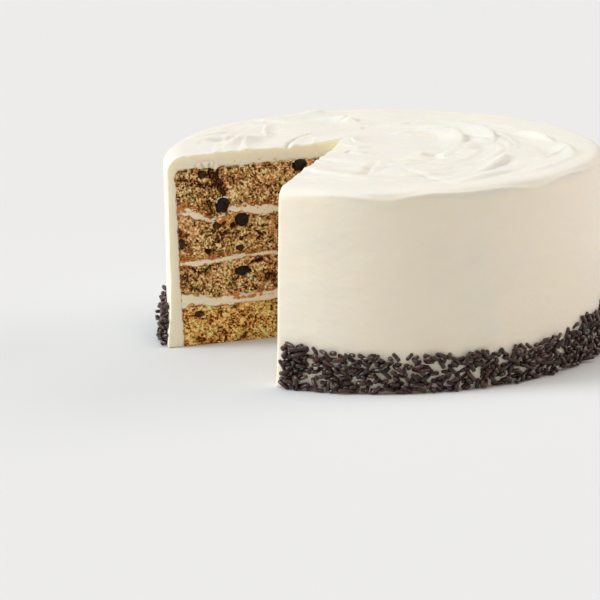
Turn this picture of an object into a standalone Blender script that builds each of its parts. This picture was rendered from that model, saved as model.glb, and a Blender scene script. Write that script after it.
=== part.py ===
"""Round carrot cake with one slice cut out: sponges, fillings and a coat of cream frosting.

Metres, +Z up. The origin is on the cake's axis at its flat base, -Y is the front, and the
missing slice is at the front left. The cake is made in the order a baker works: stacked,
frosted, sprinkled round the foot, then cut.
"""
import math
import random

import bmesh
import bpy
import numpy as np
from mathutils import Matrix, Vector

MM = 0.001
GAP = 0.3 * MM              # clearance between pieces that touch

# The whole cake
CAKE_RADIUS = 119.5 * MM    # outside of the frosting
TOP_HEIGHT = 106.6 * MM     # level of the frosted top
TIP_RISE = 2.2 * MM         # the frosting swells round the tip of the cut
TIP_RISE_WIDTH = 15 * MM
SHOULDER_WIDTH = 11 * MM    # the top edge is rounded, wider than it is deep
SHOULDER_DEPTH = 8 * MM
FOOT_BULGE = 1.6 * MM       # the foot is thicker, under the bank of sprinkles

# The stack inside the frosting, which is a slightly widening cone
CORE_FOOT_RADIUS = 111.0 * MM
CORE_TOP_RADIUS = 114.6 * MM
CORE_TOP = 98.8 * MM
CORE_CORNER = 6 * MM        # the top sponge's upper edge is rounded
LAYER_CORNER = 2.4 * MM     # and so, less, are the edges that meet a filling
FOOT_CORNER = 0.5 * MM      # the lowest edge stays nearly square, pressed flat by the weight

# Heights of the boundaries between layers, from the foot up: sponge, filling, sponge, ...
BOUNDARIES = [22.3 * MM, 26.8 * MM, 45.6 * MM, 49.4 * MM, 69.9 * MM, 76.2 * MM]
# Each boundary rolls a little: height of the roll in mm, its heading in degrees, its phase in radians
ROLLS = [(0.5, 40, 0.3), (0.6, 75, 1.9), (1.8, 22, 4.26), (1.1, 22, 4.1), (0.6, 110, 2.6), (1.9, 22, 5.68)]
ROLL_LENGTH = 150 * MM

# The missing slice: its tip at the top, the headings of both cuts, and how far the knife leant
SLICE_TIP = Vector((-21 * MM, 14 * MM, 0))
LEFT_CUT = math.radians(202)
RIGHT_CUT = math.radians(255)
KNIFE_LEAN = 3 * MM

# Strokes of the palette knife on the top, as arcs of a spiral about the cake's axis:
# radius and heading at the start, radius and heading at the end, width and height, in mm and degrees
STROKES = [
    (92, 107, 70, 101, 7, 1.3), (80, 261, 59, 272, 8, -0.9), (63, 61, 43, 7, 9, 1.6),
    (81, 59, 61, 8, 9, 1.3), (52, -10, 61, 5, 7, -1.1), (88, 28, 95, 7, 8, 1.2),
    (99, 2, 106, -14, 8, 1.1), (87, -55, 75, -22, 9, 1.2), (90, 183, 73, 151, 9, 1.5),
    (112, 134, 90, 128, 8, -1.1), (108, 116, 102, 108, 8, 1.3), (34, -35, 46, -44, 8, -1.0),
    (102, 168, 72, 154, 14, -1.3), (70, 230, 92, 268, 12, 0.9), (104, 292, 96, 318, 10, 1.0),
]

STROKE_SAMPLES = 24         # points along a stroke
STROKE_ENDS = 0.25          # radians of the half wave left off at each end, so it starts abruptly

# The band of sprinkles round the foot, from cut to cut
BAND_HEIGHT = 19.5 * MM                     # its mean height
BAND_START = math.radians(244)              # headings about the axis, clear of both cuts
BAND_END = math.radians(360 + 192.5)
SPRINKLE_COUNT = 178
SPRINKLE_LENGTHS = (8.4 * MM, 5.6 * MM)     # the longest and the shortest
SPRINKLE_DIAMETER = 2.1 * MM
SPRINKLE_SIDES = 5
SPRINKLE_CHAMFER = 0.35                     # chamfer's length as a share of the diameter
SPRINKLE_END = 0.6                          # an end's radius as a share of the rod's
SPRINKLE_PROUD = 0.3                        # share of its diameter that its middle stands proud
SPRINKLE_CLEARANCE = 7.2 * MM               # least distance between two middles
SPRINKLE_LOWEST = 1.6 * MM                  # least height of a middle
SPRINKLE_SLANT = 1.2                        # steepest slant, in radians
SPRINKLE_SEED = 7
GOLDEN = (math.sqrt(5) - 1) / 2
SPRINKLE_STEP = 0.37 * GOLDEN               # share of the band from one sprinkle to the next
SPRINKLE_FIRST = 0.003                      # and where the first one lies

# Raisins that show on the two cut faces: sponge, cut, distance from the tip, height and radius, in mm
RAISINS = [
    (4, "left", 70, 81.6, 3.6), (4, "left", 27, 93.6, 3.3), (4, "left", 82, 93.2, 2.2),
    (3, "left", 60, 65.4, 3.3), (3, "left", 75, 62.5, 2.4), (3, "left", 80, 54.5, 2.3),
    (2, "left", 59, 39.6, 3.4), (2, "left", 45, 35.3, 2.1), (1, "left", 83, 17.0, 2.0),
    (4, "right", 44, 88.0, 3.4), (4, "right", 96, 82.5, 3.0), (3, "right", 73, 60.0, 3.5),
    (2, "right", 103, 39.0, 3.3), (2, "right", 38, 34.0, 2.6), (1, "right", 84, 12.0, 3.2),
]
RAISIN_SINK = 0.62          # share of a raisin's radius that its middle lies behind the cut
RAISIN_MESHES = (8, 5)      # segments round a raisin and rings along it

# Grid fineness
RIM_SEGMENTS = 60
LAYER_SEGMENTS = 30
TOP_RING_STEP = 7.5 * MM
WALL_ROWS = (0, 10 * MM, 21 * MM, 58 * MM)
SHOULDER_TURNS = (25, 48, 70, 90)           # degrees round the rounded top edge
CORNER_TURNS = (30, 60, 90)                 # and round the stack's upper edge
CORNER_RINGS = (0.4, 0.1, 0.0)              # insets of a large corner's rings, as shares of it
INNER_RING = 0.45                           # the ring inside a layer, as a share of its outer one
OVERSHOOT = 10 * MM                         # how far a cutter passes beyond the cake


def clear_scene():
    """Remove every object, so the script can run in a used file."""
    for item in list(bpy.data.objects):
        bpy.data.objects.remove(item, do_unlink=True)


def make_material(name, colour, roughness):
    """A plain non-metallic finish."""
    material = bpy.data.materials.new(name)
    material.use_nodes = True
    shader = material.node_tree.nodes["Principled BSDF"]
    shader.inputs["Base Color"].default_value = (*colour, 1.0)
    shader.inputs["Roughness"].default_value = roughness
    shader.inputs["Metallic"].default_value = 0.0
    return material


def make_object(name, points, faces, material=None):
    """A mesh object whose faces all point outwards."""
    mesh = bpy.data.meshes.new(name)
    mesh.from_pydata([tuple(point) for point in points], [], faces)
    body = bmesh.new()
    body.from_mesh(mesh)
    bmesh.ops.recalc_face_normals(body, faces=body.faces)
    body.to_mesh(mesh)
    body.free()
    item = bpy.data.objects.new(name, mesh)
    bpy.context.scene.collection.objects.link(item)
    if material:
        mesh.materials.append(material)
    return item


def cut_away(item, cutter):
    """Take the cutter's shape out of the item."""
    modifier = item.modifiers.new("cut", "BOOLEAN")
    modifier.operation = "DIFFERENCE"
    modifier.solver = "EXACT"
    modifier.object = cutter
    apply_modifiers(item)


def apply_modifiers(item):
    """Replace the item's mesh with what its modifiers make of it."""
    graph = bpy.context.evaluated_depsgraph_get()
    mesh = bpy.data.meshes.new_from_object(item.evaluated_get(graph))
    item.modifiers.clear()
    item.data = mesh


def keep_largest_body(item):
    """Drop loose scraps, and fill sealed hollows by dropping their walls."""
    body = bmesh.new()
    body.from_mesh(item.data)
    unseen = set(body.verts)
    groups = []
    while unseen:
        stack = [unseen.pop()]
        group = set(stack)
        while stack:
            for edge in stack.pop().link_edges:
                for vert in edge.verts:
                    if vert in unseen:
                        unseen.discard(vert)
                        group.add(vert)
                        stack.append(vert)
        groups.append(group)
    groups.sort(key=len)
    for group in groups[:-1]:
        bmesh.ops.delete(body, geom=list(group), context="VERTS")
    body.to_mesh(item.data)
    body.free()


def shade(item, angle=40):
    """Smooth shading with sharp edges kept."""
    item.data.shade_smooth()
    item.data.set_sharp_from_angle(angle=math.radians(angle))


def ring_of(radius, segments):
    """Points of a level circle about the axis; radius may be one number or one for each point."""
    angle = np.arange(segments) * 2 * math.pi / segments
    return np.stack([radius * np.cos(angle), radius * np.sin(angle)], axis=1)


def turned_solid(name, rows, segments, material=None):
    """A closed body turned about the axis: a middle point, rings out and back, a middle point.

    Each row is a radius, which is zero for the two middle points, and a function that gives
    the height at the ring's points. Every cell is split along the same diagonal, from its
    inner ring to its outer one, so two layers that share a boundary never cross.
    """
    points = []
    starts = []
    for radius, height in rows:
        spots = np.zeros((1, 2)) if np.ndim(radius) == 0 and radius == 0 else ring_of(radius, segments)
        starts.append(len(points))
        points.extend(np.column_stack([spots, height(spots[:, 0], spots[:, 1])]).tolist())
    faces = []
    last = len(rows) - 1
    for row in range(last):
        inner, outer = starts[row], starts[row + 1]
        if np.mean(rows[row][0]) > np.mean(rows[row + 1][0]):
            inner, outer = outer, inner
        for step in range(segments):
            following = (step + 1) % segments
            if row in (0, last - 1):
                faces.append((inner, outer + step, outer + following))
            else:
                faces.append((inner + step, outer + step, outer + following))
                faces.append((inner + step, outer + following, inner + following))
    return make_object(name, points, faces, material)


def level(height):
    """A height function that is the same everywhere."""
    return lambda x, y: np.full(np.shape(x), height)


def smooth_step(value):
    """Ease from 0 to 1 as the value goes from 0 to 1."""
    value = np.clip(value, 0, 1)
    return value * value * (3 - 2 * value)


def stroke_height(x, y, stroke):
    """One pass of the knife: a lip along its line with a shallow trough on the inner side."""
    radii = np.linspace(stroke[0], stroke[2], STROKE_SAMPLES) * MM
    headings = np.radians(np.linspace(stroke[1], stroke[3], STROKE_SAMPLES))
    width = stroke[4] * MM
    lift = stroke[5] * MM * np.sin(np.linspace(STROKE_ENDS, math.pi - STROKE_ENDS, STROKE_SAMPLES))
    dx = x[..., None] - radii * np.cos(headings)
    dy = y[..., None] - radii * np.sin(headings)
    nearest = np.argmin(dx * dx + dy * dy, axis=-1)[..., None]
    distance = np.sqrt(np.take_along_axis(dx * dx + dy * dy, nearest, -1))[..., 0]
    outward = np.hypot(x, y) - radii[nearest[..., 0]]
    lip = np.exp(-(distance / width) ** 2)
    trough = np.exp(-((distance - 1.3 * width) / width) ** 2) * (outward < 0)
    return lift[nearest[..., 0]] * (lip - 0.5 * trough)


def top_height(x, y):
    """Height of the frosted top: level, with the knife's strokes and a swelling round the tip."""
    x = np.asarray(x, dtype=float)
    y = np.asarray(y, dtype=float)
    swell = TIP_RISE * np.exp(-((x - SLICE_TIP.x) ** 2 + (y - SLICE_TIP.y) ** 2) / TIP_RISE_WIDTH ** 2)
    strokes = sum(stroke_height(x, y, stroke) for stroke in STROKES)
    rim_fade = smooth_step((CAKE_RADIUS - np.hypot(x, y)) / (1.6 * SHOULDER_WIDTH))
    return TOP_HEIGHT + swell + strokes * rim_fade


def band_height(heading):
    """How high the sprinkles reach at a heading: highest at the left, lowest at the front right."""
    left = 4.5 * MM * np.cos(heading - math.radians(190))
    wave = 2.0 * MM * np.cos(3 * (heading - math.radians(345)))
    return BAND_HEIGHT + left + wave


def wall_radius(heading, height):
    """Outside of the frosting: a foot that bulges under the sprinkles, and a slightly uneven wall."""
    uneven = 0.35 * MM * np.sin(2 * heading + 1.0) + 0.3 * MM * np.sin(3 * heading + height / (30 * MM))
    foot = FOOT_BULGE * (1 - smooth_step(height / band_height(heading)))
    return CAKE_RADIUS + uneven + foot


def core_radius(height):
    """Outside of the stacked sponges and fillings."""
    return CORE_FOOT_RADIUS + (CORE_TOP_RADIUS - CORE_FOOT_RADIUS) * height / CORE_TOP


def boundary_height(index, x, y):
    """Height of one boundary between two layers, which rolls along its own heading."""
    size, heading, phase = ROLLS[index]
    heading = math.radians(heading)
    along = (x * math.cos(heading) + y * math.sin(heading)) / ROLL_LENGTH
    return BOUNDARIES[index] + size * MM * np.sin(2 * math.pi * along + phase)


def corner_drop(inset, corner):
    """How far a rounded edge has fallen at a given distance in from the wall."""
    rest = max(corner - inset, 0) / corner
    return corner * (1 - math.sqrt(1 - rest * rest))


def build_frosted_block(material):
    """The whole frosted cake as one body, before it is hollowed and cut."""
    headings = np.arange(RIM_SEGMENTS) * 2 * math.pi / RIM_SEGMENTS
    shoulder_foot = TOP_HEIGHT - SHOULDER_DEPTH
    rows = [(0, level(0.0))]
    for height in (*WALL_ROWS, shoulder_foot):
        rows.append((wall_radius(headings, height), level(height)))
    for turn in SHOULDER_TURNS:
        turn = math.radians(turn)
        inset = SHOULDER_WIDTH * (1 - math.cos(turn))
        fall = SHOULDER_DEPTH * (1 - math.sin(turn))
        radius = wall_radius(headings, shoulder_foot) - inset
        rows.append((radius, lambda x, y, fall=fall: top_height(x, y) - fall))
    rings = round((CAKE_RADIUS - SHOULDER_WIDTH) / TOP_RING_STEP)
    for ring in range(rings - 1, 0, -1):
        rows.append(((CAKE_RADIUS - SHOULDER_WIDTH) * ring / rings, top_height))
    rows.append((0, top_height))
    return turned_solid("frosting", rows, RIM_SEGMENTS, material)


def build_core_cutter():
    """The space for the stack, open below, one gap larger than the stack all round."""
    rows = [(0, level(-OVERSHOOT)), (core_radius(0), level(-OVERSHOOT))]
    for height in (0, CORE_TOP / 2, CORE_TOP - CORE_CORNER):
        rows.append((core_radius(height), level(height)))
    for turn in CORNER_TURNS:
        turn = math.radians(turn)
        inset = CORE_CORNER * (1 - math.cos(turn))
        fall = CORE_CORNER * (1 - math.sin(turn))
        rows.append((core_radius(CORE_TOP) - inset, level(CORE_TOP - fall)))
    rows.append((0, level(CORE_TOP)))
    return mark_cutter(turned_solid("core_space", rows, LAYER_SEGMENTS))


def mark_cutter(item):
    """A helper body that isn't part of the cake."""
    item.hide_render = True
    item.display_type = "WIRE"
    return item


def cut_direction(heading):
    """Unit vector along a cut, away from the tip."""
    return Vector((math.cos(heading), math.sin(heading), 0))


def tip_at(height):
    """Tip of the missing slice at a height: the knife leant, so the foot lies further out."""
    lean = KNIFE_LEAN * (1 - height / TOP_HEIGHT)
    return SLICE_TIP + cut_direction(LEFT_CUT) * lean


def build_slice_cutter():
    """The missing slice: a wedge between the two cuts, taller and longer than the cake."""
    reach = 2 * CAKE_RADIUS
    points = []
    for height in (-OVERSHOOT, TOP_HEIGHT + 2 * OVERSHOOT):
        tip = tip_at(height)
        for offset in (Vector(), cut_direction(LEFT_CUT) * reach, cut_direction(RIGHT_CUT) * reach):
            corner = tip + offset
            points.append((corner.x, corner.y, height))
    faces = [(0, 2, 1), (3, 4, 5), (0, 1, 4, 3), (1, 2, 5, 4), (2, 0, 3, 5)]
    return mark_cutter(make_object("slice", points, faces))


def sprinkle_body(name, length, diameter):
    """A short rod with chamfered ends, along X about its own middle."""
    chamfer = SPRINKLE_CHAMFER * diameter
    rings = [(-length / 2, SPRINKLE_END), (-length / 2 + chamfer, 1.0)]
    rings += [(length / 2 - chamfer, 1.0), (length / 2, SPRINKLE_END)]
    points = []
    for place, share in rings:
        for side in range(SPRINKLE_SIDES):
            angle = 2 * math.pi * side / SPRINKLE_SIDES
            radius = share * diameter / 2
            points.append((place, radius * math.cos(angle), radius * math.sin(angle)))
    faces = [tuple(range(SPRINKLE_SIDES))]
    for ring in range(len(rings) - 1):
        for side in range(SPRINKLE_SIDES):
            following = (side + 1) % SPRINKLE_SIDES
            start = ring * SPRINKLE_SIDES
            above = start + SPRINKLE_SIDES
            faces.append((start + side, start + following, above + following, above + side))
    last = (len(rings) - 1) * SPRINKLE_SIDES
    faces.append(tuple(range(last, last + SPRINKLE_SIDES)))
    return make_object(name, points, faces)


def sprinkle_places():
    """Heading, height, slant and length of each sprinkle, the longest first.

    Headings go round in equal steps and heights by the golden ratio, so they spread evenly.
    A place that is too close to an earlier one is left out.
    """
    draw = random.Random(SPRINKLE_SEED)
    places = []
    for number in range(3 * SPRINKLE_COUNT):
        if len(places) == SPRINKLE_COUNT:
            break
        heading = BAND_START + (BAND_END - BAND_START) * ((number * SPRINKLE_STEP + SPRINKLE_FIRST) % 1)
        room = band_height(heading) - 1.5 * SPRINKLE_LOWEST
        height = SPRINKLE_LOWEST + room * ((number * GOLDEN + 0.5) % 1)
        slant = draw.uniform(-SPRINKLE_SLANT, SPRINKLE_SLANT)
        spot = Vector((heading * CAKE_RADIUS, height))
        if any((spot - other[4]).length < SPRINKLE_CLEARANCE for other in places):
            continue
        share = len(places) / SPRINKLE_COUNT
        length = SPRINKLE_LENGTHS[0] + (SPRINKLE_LENGTHS[1] - SPRINKLE_LENGTHS[0]) * share
        places.append((heading, height, slant, length, spot))
    return [place[:4] for place in places]


def build_sprinkles():
    """Every sprinkle laid against the wall, in one collection."""
    group = bpy.data.collections.new("sprinkles")
    bpy.context.scene.collection.children.link(group)
    for number, (heading, height, slant, length) in enumerate(sprinkle_places()):
        rod = sprinkle_body(f"sprinkle_{number}", length, SPRINKLE_DIAMETER)
        lowest = abs(math.sin(slant)) * length / 2 + SPRINKLE_END * SPRINKLE_DIAMETER
        height = max(height, lowest)
        out = float(wall_radius(heading, height)) + SPRINKLE_PROUD * SPRINKLE_DIAMETER
        middle = Vector((out * math.cos(heading), out * math.sin(heading), height))
        turn = Matrix.Rotation(heading + math.pi / 2, 4, "Z") @ Matrix.Rotation(slant, 4, "Y")
        rod.data.transform(Matrix.Translation(middle) @ turn)
        bpy.context.scene.collection.objects.unlink(rod)
        group.objects.link(rod)
    return group


def fuse_group(item, group, solver):
    """One union joins the group's bodies to the item, and the group is removed."""
    modifier = item.modifiers.new("fuse", "BOOLEAN")
    modifier.operation = "UNION"
    modifier.operand_type = "COLLECTION"
    modifier.solver = solver
    modifier.collection = group
    apply_modifiers(item)
    for member in list(group.objects):
        bpy.data.objects.remove(member, do_unlink=True)
    bpy.data.collections.remove(group)
    keep_largest_body(item)


def corner_insets(corner):
    """Where a rounded edge has its rings: a small edge has one, at the wall."""
    if corner > LAYER_CORNER:
        return [share * corner for share in CORNER_RINGS]
    return [0.0]


def layer_rows(low, high, low_edge, high_edge, corner_low, corner_high):
    """Rows of one layer between two heights, with its outer edges rounded or flared.

    An edge sign of 1 pulls the surface into the layer, as on a sponge, and -1 lets it
    swell out, as on a filling that takes up the rounding of the sponges.
    """
    rows = [(0, low)]
    middle = core_radius(float(low(0.0, 0.0))) - GAP
    edge = max(corner_low, corner_high)
    for share in (INNER_RING, 1.0):
        rows.append(((middle - edge) * share, low))
    for inset in corner_insets(corner_low):
        fall = corner_drop(inset, corner_low) * low_edge
        height = float(low(0.0, 0.0)) + fall
        rows.append((core_radius(height) - GAP - inset, lambda x, y, fall=fall: low(x, y) + fall))
    top = float(high(0.0, 0.0))
    for inset in reversed(corner_insets(corner_high)):
        fall = corner_drop(inset, corner_high) * high_edge
        height = top - fall
        rows.append((core_radius(height) - GAP - inset, lambda x, y, fall=fall: high(x, y) - fall))
    middle = core_radius(top) - GAP
    for share in (1.0, INNER_RING):
        rows.append(((middle - edge) * share, high))
    rows.append((0, high))
    return rows


def boundary(index, offset):
    """A boundary's height function, moved by an offset."""
    return lambda x, y: boundary_height(index, x, y) + offset


def build_sponge(number, material):
    """One sponge, counted from the foot up; the lowest is flat below, the highest is flat above."""
    low = level(0.0) if number == 1 else boundary(2 * number - 3, GAP / 2)
    high = level(CORE_TOP - GAP) if number == 4 else boundary(2 * number - 2, -GAP / 2)
    corner_low = FOOT_CORNER if number == 1 else LAYER_CORNER
    corner_high = CORE_CORNER if number == 4 else LAYER_CORNER
    rows = layer_rows(low, high, 1, 1, corner_low, corner_high)
    return turned_solid(f"sponge_{number}", rows, LAYER_SEGMENTS, material)


def build_filling(number, material):
    """One filling, between the sponges of the same number and the next."""
    low = boundary(2 * number - 2, GAP / 2)
    high = boundary(2 * number - 1, -GAP / 2)
    rows = layer_rows(low, high, -1, -1, LAYER_CORNER, LAYER_CORNER)
    return turned_solid(f"filling_{number}", rows, LAYER_SEGMENTS, material)


def build_raisins(number):
    """The raisins of one sponge, as flattened balls that stand a little proud of the cut."""
    group = bpy.data.collections.new(f"raisins_{number}")
    bpy.context.scene.collection.children.link(group)
    for count, (sponge, cut, distance, height, radius) in enumerate(RAISINS):
        if sponge != number:
            continue
        heading = LEFT_CUT if cut == "left" else RIGHT_CUT
        side = 1 if cut == "left" else -1
        into_cake = Vector((math.sin(heading), -math.cos(heading), 0)) * side
        middle = tip_at(height * MM) + cut_direction(heading) * distance * MM
        middle += into_cake * RAISIN_SINK * radius * MM
        middle.z = height * MM
        ball = bmesh.new()
        around, along = RAISIN_MESHES
        bmesh.ops.create_uvsphere(ball, u_segments=around, v_segments=along, radius=radius * MM)
        mesh = bpy.data.meshes.new("raisin")
        ball.to_mesh(mesh)
        ball.free()
        mesh.transform(Matrix.Translation(middle) @ Matrix.Rotation(count, 4, "Z"))
        group.objects.link(bpy.data.objects.new(f"raisin_{count}", mesh))
    return group


def main():
    clear_scene()
    cream = make_material("cream", (0.87, 0.82, 0.68), 0.45)
    filling_cream = make_material("filling cream", (0.82, 0.73, 0.55), 0.5)
    crumb = make_material("crumb", (0.42, 0.24, 0.08), 0.85)

    slice_cutter = build_slice_cutter()
    core_cutter = build_core_cutter()

    frosting = build_frosted_block(cream)
    cut_away(frosting, core_cutter)
    cut_away(frosting, slice_cutter)
    fuse_group(frosting, build_sprinkles(), "MANIFOLD")
    shade(frosting)

    for number in (1, 2, 3, 4):
        sponge = build_sponge(number, crumb)
        cut_away(sponge, slice_cutter)
        fuse_group(sponge, build_raisins(number), "MANIFOLD")
        shade(sponge)
    for number in (1, 2, 3):
        filling = build_filling(number, filling_cream)
        cut_away(filling, slice_cutter)
        shade(filling)


main()
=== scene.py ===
# %% [markdown]
# # A round carrot cake with one slice cut out
# Four brown sponges are stacked with three cream fillings, and coated with a cream frosting that a
# palette knife has smoothed on the side and swirled on the top. Short chocolate sprinkles are
# pressed round the foot. One slice has been cut out at the front left, so two cut faces show the
# layers, the open crumb, the raisins and the shreds of carrot.
#
# A solid model of the same cake is loaded first. It fixes the size and place of everything, and
# each piece below is a finer surface in the place of one solid. Keeping the two apart lets the
# surfaces be as detailed as the eye wants, while the solids stay light enough to reckon with.

# %% Load the solid model
import math

import bmesh
import bpy
import numpy as np
from mathutils import Matrix, Vector


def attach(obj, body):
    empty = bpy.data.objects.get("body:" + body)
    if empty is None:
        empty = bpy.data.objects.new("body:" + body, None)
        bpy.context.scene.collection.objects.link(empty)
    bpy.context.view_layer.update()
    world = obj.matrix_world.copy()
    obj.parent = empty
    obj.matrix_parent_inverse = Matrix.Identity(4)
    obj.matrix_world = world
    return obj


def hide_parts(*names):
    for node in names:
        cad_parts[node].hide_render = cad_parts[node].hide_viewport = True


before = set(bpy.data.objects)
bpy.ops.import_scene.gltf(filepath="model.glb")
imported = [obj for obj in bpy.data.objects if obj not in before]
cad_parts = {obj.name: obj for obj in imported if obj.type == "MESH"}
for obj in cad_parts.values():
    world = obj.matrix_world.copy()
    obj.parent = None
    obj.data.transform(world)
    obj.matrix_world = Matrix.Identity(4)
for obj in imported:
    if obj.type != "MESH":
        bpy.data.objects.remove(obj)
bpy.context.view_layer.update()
print("solids:", ", ".join(sorted(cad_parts)))

# %% [markdown]
# ## The cake's sizes
# These are the same named sizes that the solids were made with, so that the finer surfaces land
# on them: the coat's outside, the stack inside it, the boundaries between the layers, and the two
# cuts. Headings are angles seen from above, anticlockwise from +X, and -Y is the front.

# %% Coat and stack
MM = 0.001
GAP = 0.3 * MM                  # between one solid and the next
CAKE_RADIUS = 119.5 * MM
TOP_HEIGHT = 106.6 * MM
TIP_RISE = 2.2 * MM             # the top swells beside the slice's tip
TIP_RISE_WIDTH = 15 * MM
SHOULDER_WIDTH = 11 * MM        # the rounding from the top to the wall
SHOULDER_DEPTH = 8 * MM
FOOT_BULGE = 1.6 * MM
CORE_FOOT_RADIUS = 111.0 * MM   # the core is the stack of layers inside the coat
CORE_TOP_RADIUS = 114.6 * MM
CORE_TOP = 98.8 * MM
CORE_CORNER = 6 * MM
LAYER_CORNER = 2.4 * MM
FOOT_CORNER = 0.5 * MM
print(f"cake {2 * CAKE_RADIUS / MM:.0f} mm across, {TOP_HEIGHT / MM:.0f} mm tall")

# %% Layers and cuts
BOUNDARIES = [22.3 * MM, 26.8 * MM, 45.6 * MM, 49.4 * MM, 69.9 * MM, 76.2 * MM]
# The wave of each boundary: height in mm, heading in degrees, and phase
ROLLS = [
    (0.5, 40, 0.3), (0.6, 75, 1.9), (1.8, 22, 4.26), (1.1, 22, 4.1), (0.6, 110, 2.6), (1.9, 22, 5.68),
]
ROLL_LENGTH = 150 * MM
SLICE_TIP = np.array([-21, 14]) * MM
LEFT_CUT = math.radians(202)
RIGHT_CUT = math.radians(255)
KNIFE_LEAN = 3 * MM
print("layers meet at", [round(height / MM, 1) for height in BOUNDARIES], "mm")

# %% [markdown]
# ## Tools for uneven surfaces
# Food is never quite even. Three small tools make all of its unevenness. Smooth noise rolls gently,
# fractal noise adds finer and finer noise to it, and cells scatter one point in each square of a
# grid and measure how far the nearest is, which gives grains with creases between them, or pits.
# They are worked out here with numpy, and not by a texture, because the surfaces themselves move.

# %% Easing and noise
LATTICE = 32
CORNER_VALUES = np.random.default_rng(5).uniform(-1, 1, (LATTICE, LATTICE, LATTICE))


def smooth_step(value):
    """Ease from 0 to 1: v * v * (3 - 2 v), with v held between 0 and 1."""
    value = np.clip(value, 0, 1)
    return value * value * (3 - 2 * value)


def noise(points, size, shift=0.0):
    """Noise from -1 to 1: a random number at each corner of cubes of this size, eased in between."""
    place = points / size + shift
    cell = np.floor(place).astype(int)
    part = smooth_step(place - cell)
    total = np.zeros(points.shape[:-1])
    for corner in range(8):
        offset = np.array([corner & 1, corner >> 1 & 1, corner >> 2 & 1])
        weight = np.prod(np.where(offset, part, 1 - part), axis=-1)
        spot = (cell + offset) % LATTICE
        total += weight * CORNER_VALUES[spot[..., 0], spot[..., 1], spot[..., 2]]
    return total


def fractal(points, size, octaves, shift=0.0):
    """Sum of noises, each half as large and half as strong as the one before it."""
    return sum(noise(points, size / 2 ** k, shift + 7.3 * k) / 2 ** k for k in range(octaves))


samples = noise(np.random.default_rng(1).uniform(0, 9, (999, 3)), 1.0)
print(f"noise between {samples.min():.2f} and {samples.max():.2f}")

# %% Cells
CELL_TABLE = 64
CELL_SPOTS = np.random.default_rng(11).uniform(0.08, 0.92, (CELL_TABLE, CELL_TABLE, 2))
CELL_TONES = np.random.default_rng(12).uniform(0, 1, (CELL_TABLE, CELL_TABLE))


def cells(along, up, size, shift=0):
    """Distances to the two nearest scattered points, in cell sizes, and the nearer's random tone."""
    u = along / size
    v = up / size
    column = np.floor(u).astype(int)
    row = np.floor(v).astype(int)
    nearest = np.full(u.shape, 9.0)
    second = np.full(u.shape, 9.0)
    tone = np.zeros(u.shape)
    for side in (-1, 0, 1):
        for rise in (-1, 0, 1):
            i = (column + side + shift) % CELL_TABLE
            j = (row + rise + 3 * shift) % CELL_TABLE
            spot = CELL_SPOTS[i, j]
            distance = np.hypot(column + side + spot[..., 0] - u, row + rise + spot[..., 1] - v)
            closer = distance < nearest
            second = np.where(closer, nearest, np.minimum(second, distance))
            tone = np.where(closer, CELL_TONES[i, j], tone)
            nearest = np.where(closer, distance, nearest)
    return nearest, second, tone


samples = cells(*np.random.default_rng(3).uniform(0, 9, (2, 999)), 1.0)[0]
print(f"the nearest point is {samples.mean():.2f} cell sizes away on average")

# %% [markdown]
# ## Surfaces from grids
# Every piece is made of grids of points. A grid is a sheet worked out as a whole by a formula in
# two directions. Sheets that meet share the numbers of their border points, so the piece closes
# without gluing. Where a fine sheet meets a coarse hidden one, a seam joins each coarse step to
# several fine ones. This spends the points on what can be seen.

# %% The surface builder
class Surface:
    """A closed surface put together from sheets that share the points of their borders."""

    def __init__(self, *fields):
        self.points = []
        self.triangles = []
        self.fields = {name: [] for name in fields}
        self.count = 0

    def place(self, points, **values):
        """Add points, laid out in any grid, and return their numbers in the same layout."""
        self.points.append(points.reshape(-1, 3))
        for name, stored in self.fields.items():
            stored.append(np.broadcast_to(values.get(name, 0.0), points.shape[:-1]).reshape(-1))
        numbers = self.count + np.arange(points[..., 0].size).reshape(points.shape[:-1])
        self.count += points[..., 0].size
        return numbers

    def grid(self, numbers):
        """Two triangles for each cell of a grid of point numbers."""
        a, b, c, d = numbers[:-1, :-1], numbers[1:, :-1], numbers[1:, 1:], numbers[:-1, 1:]
        self.triangles.append(np.stack([a, b, c, a, c, d], axis=-1).reshape(-1, 3))

    def seam(self, fine, coarse):
        """Join a line of points to one with fewer, each of whose steps meets as many fine ones."""
        ratio = (len(fine) - 1) // (len(coarse) - 1)
        step = np.arange(len(fine) - 1)
        meets = coarse[(step + ratio // 2) // ratio]
        turn = fine[ratio * np.arange(1, len(coarse)) - ratio // 2]
        self.triangles.append(np.stack([fine[:-1], fine[1:], meets], axis=-1))
        self.triangles.append(np.stack([coarse[:-1], coarse[1:], turn], axis=-1))

    def piece(self, name, material, slot, *replaced):
        """Make the mesh, turn its faces outwards, and let it stand for the solids that it replaces."""
        triangles = np.concatenate(self.triangles)
        a, b, c = triangles.T
        triangles = triangles[(a != b) & (b != c) & (c != a)]
        mesh = bpy.data.meshes.new(name)
        mesh.from_pydata(np.concatenate(self.points).tolist(), [], triangles.tolist())
        for field, stored in self.fields.items():
            values = np.concatenate(stored)
            mesh.attributes.new(field, "FLOAT", "POINT").data.foreach_set("value", values)
        body = bmesh.new()
        body.from_mesh(mesh)
        bmesh.ops.recalc_face_normals(body, faces=body.faces)
        loose = [vert for vert in body.verts if not vert.link_faces]
        bmesh.ops.delete(body, geom=loose, context="VERTS")
        body.to_mesh(mesh)
        body.free()
        mesh.shade_smooth()
        mesh.materials.append(material)
        item = bpy.data.objects.new(name, mesh)
        bpy.context.scene.collection.objects.link(item)
        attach(item, "root")
        if replaced:
            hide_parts(*replaced)
        print(f"{name}: {len(mesh.polygons)} triangles")
        return item


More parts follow.
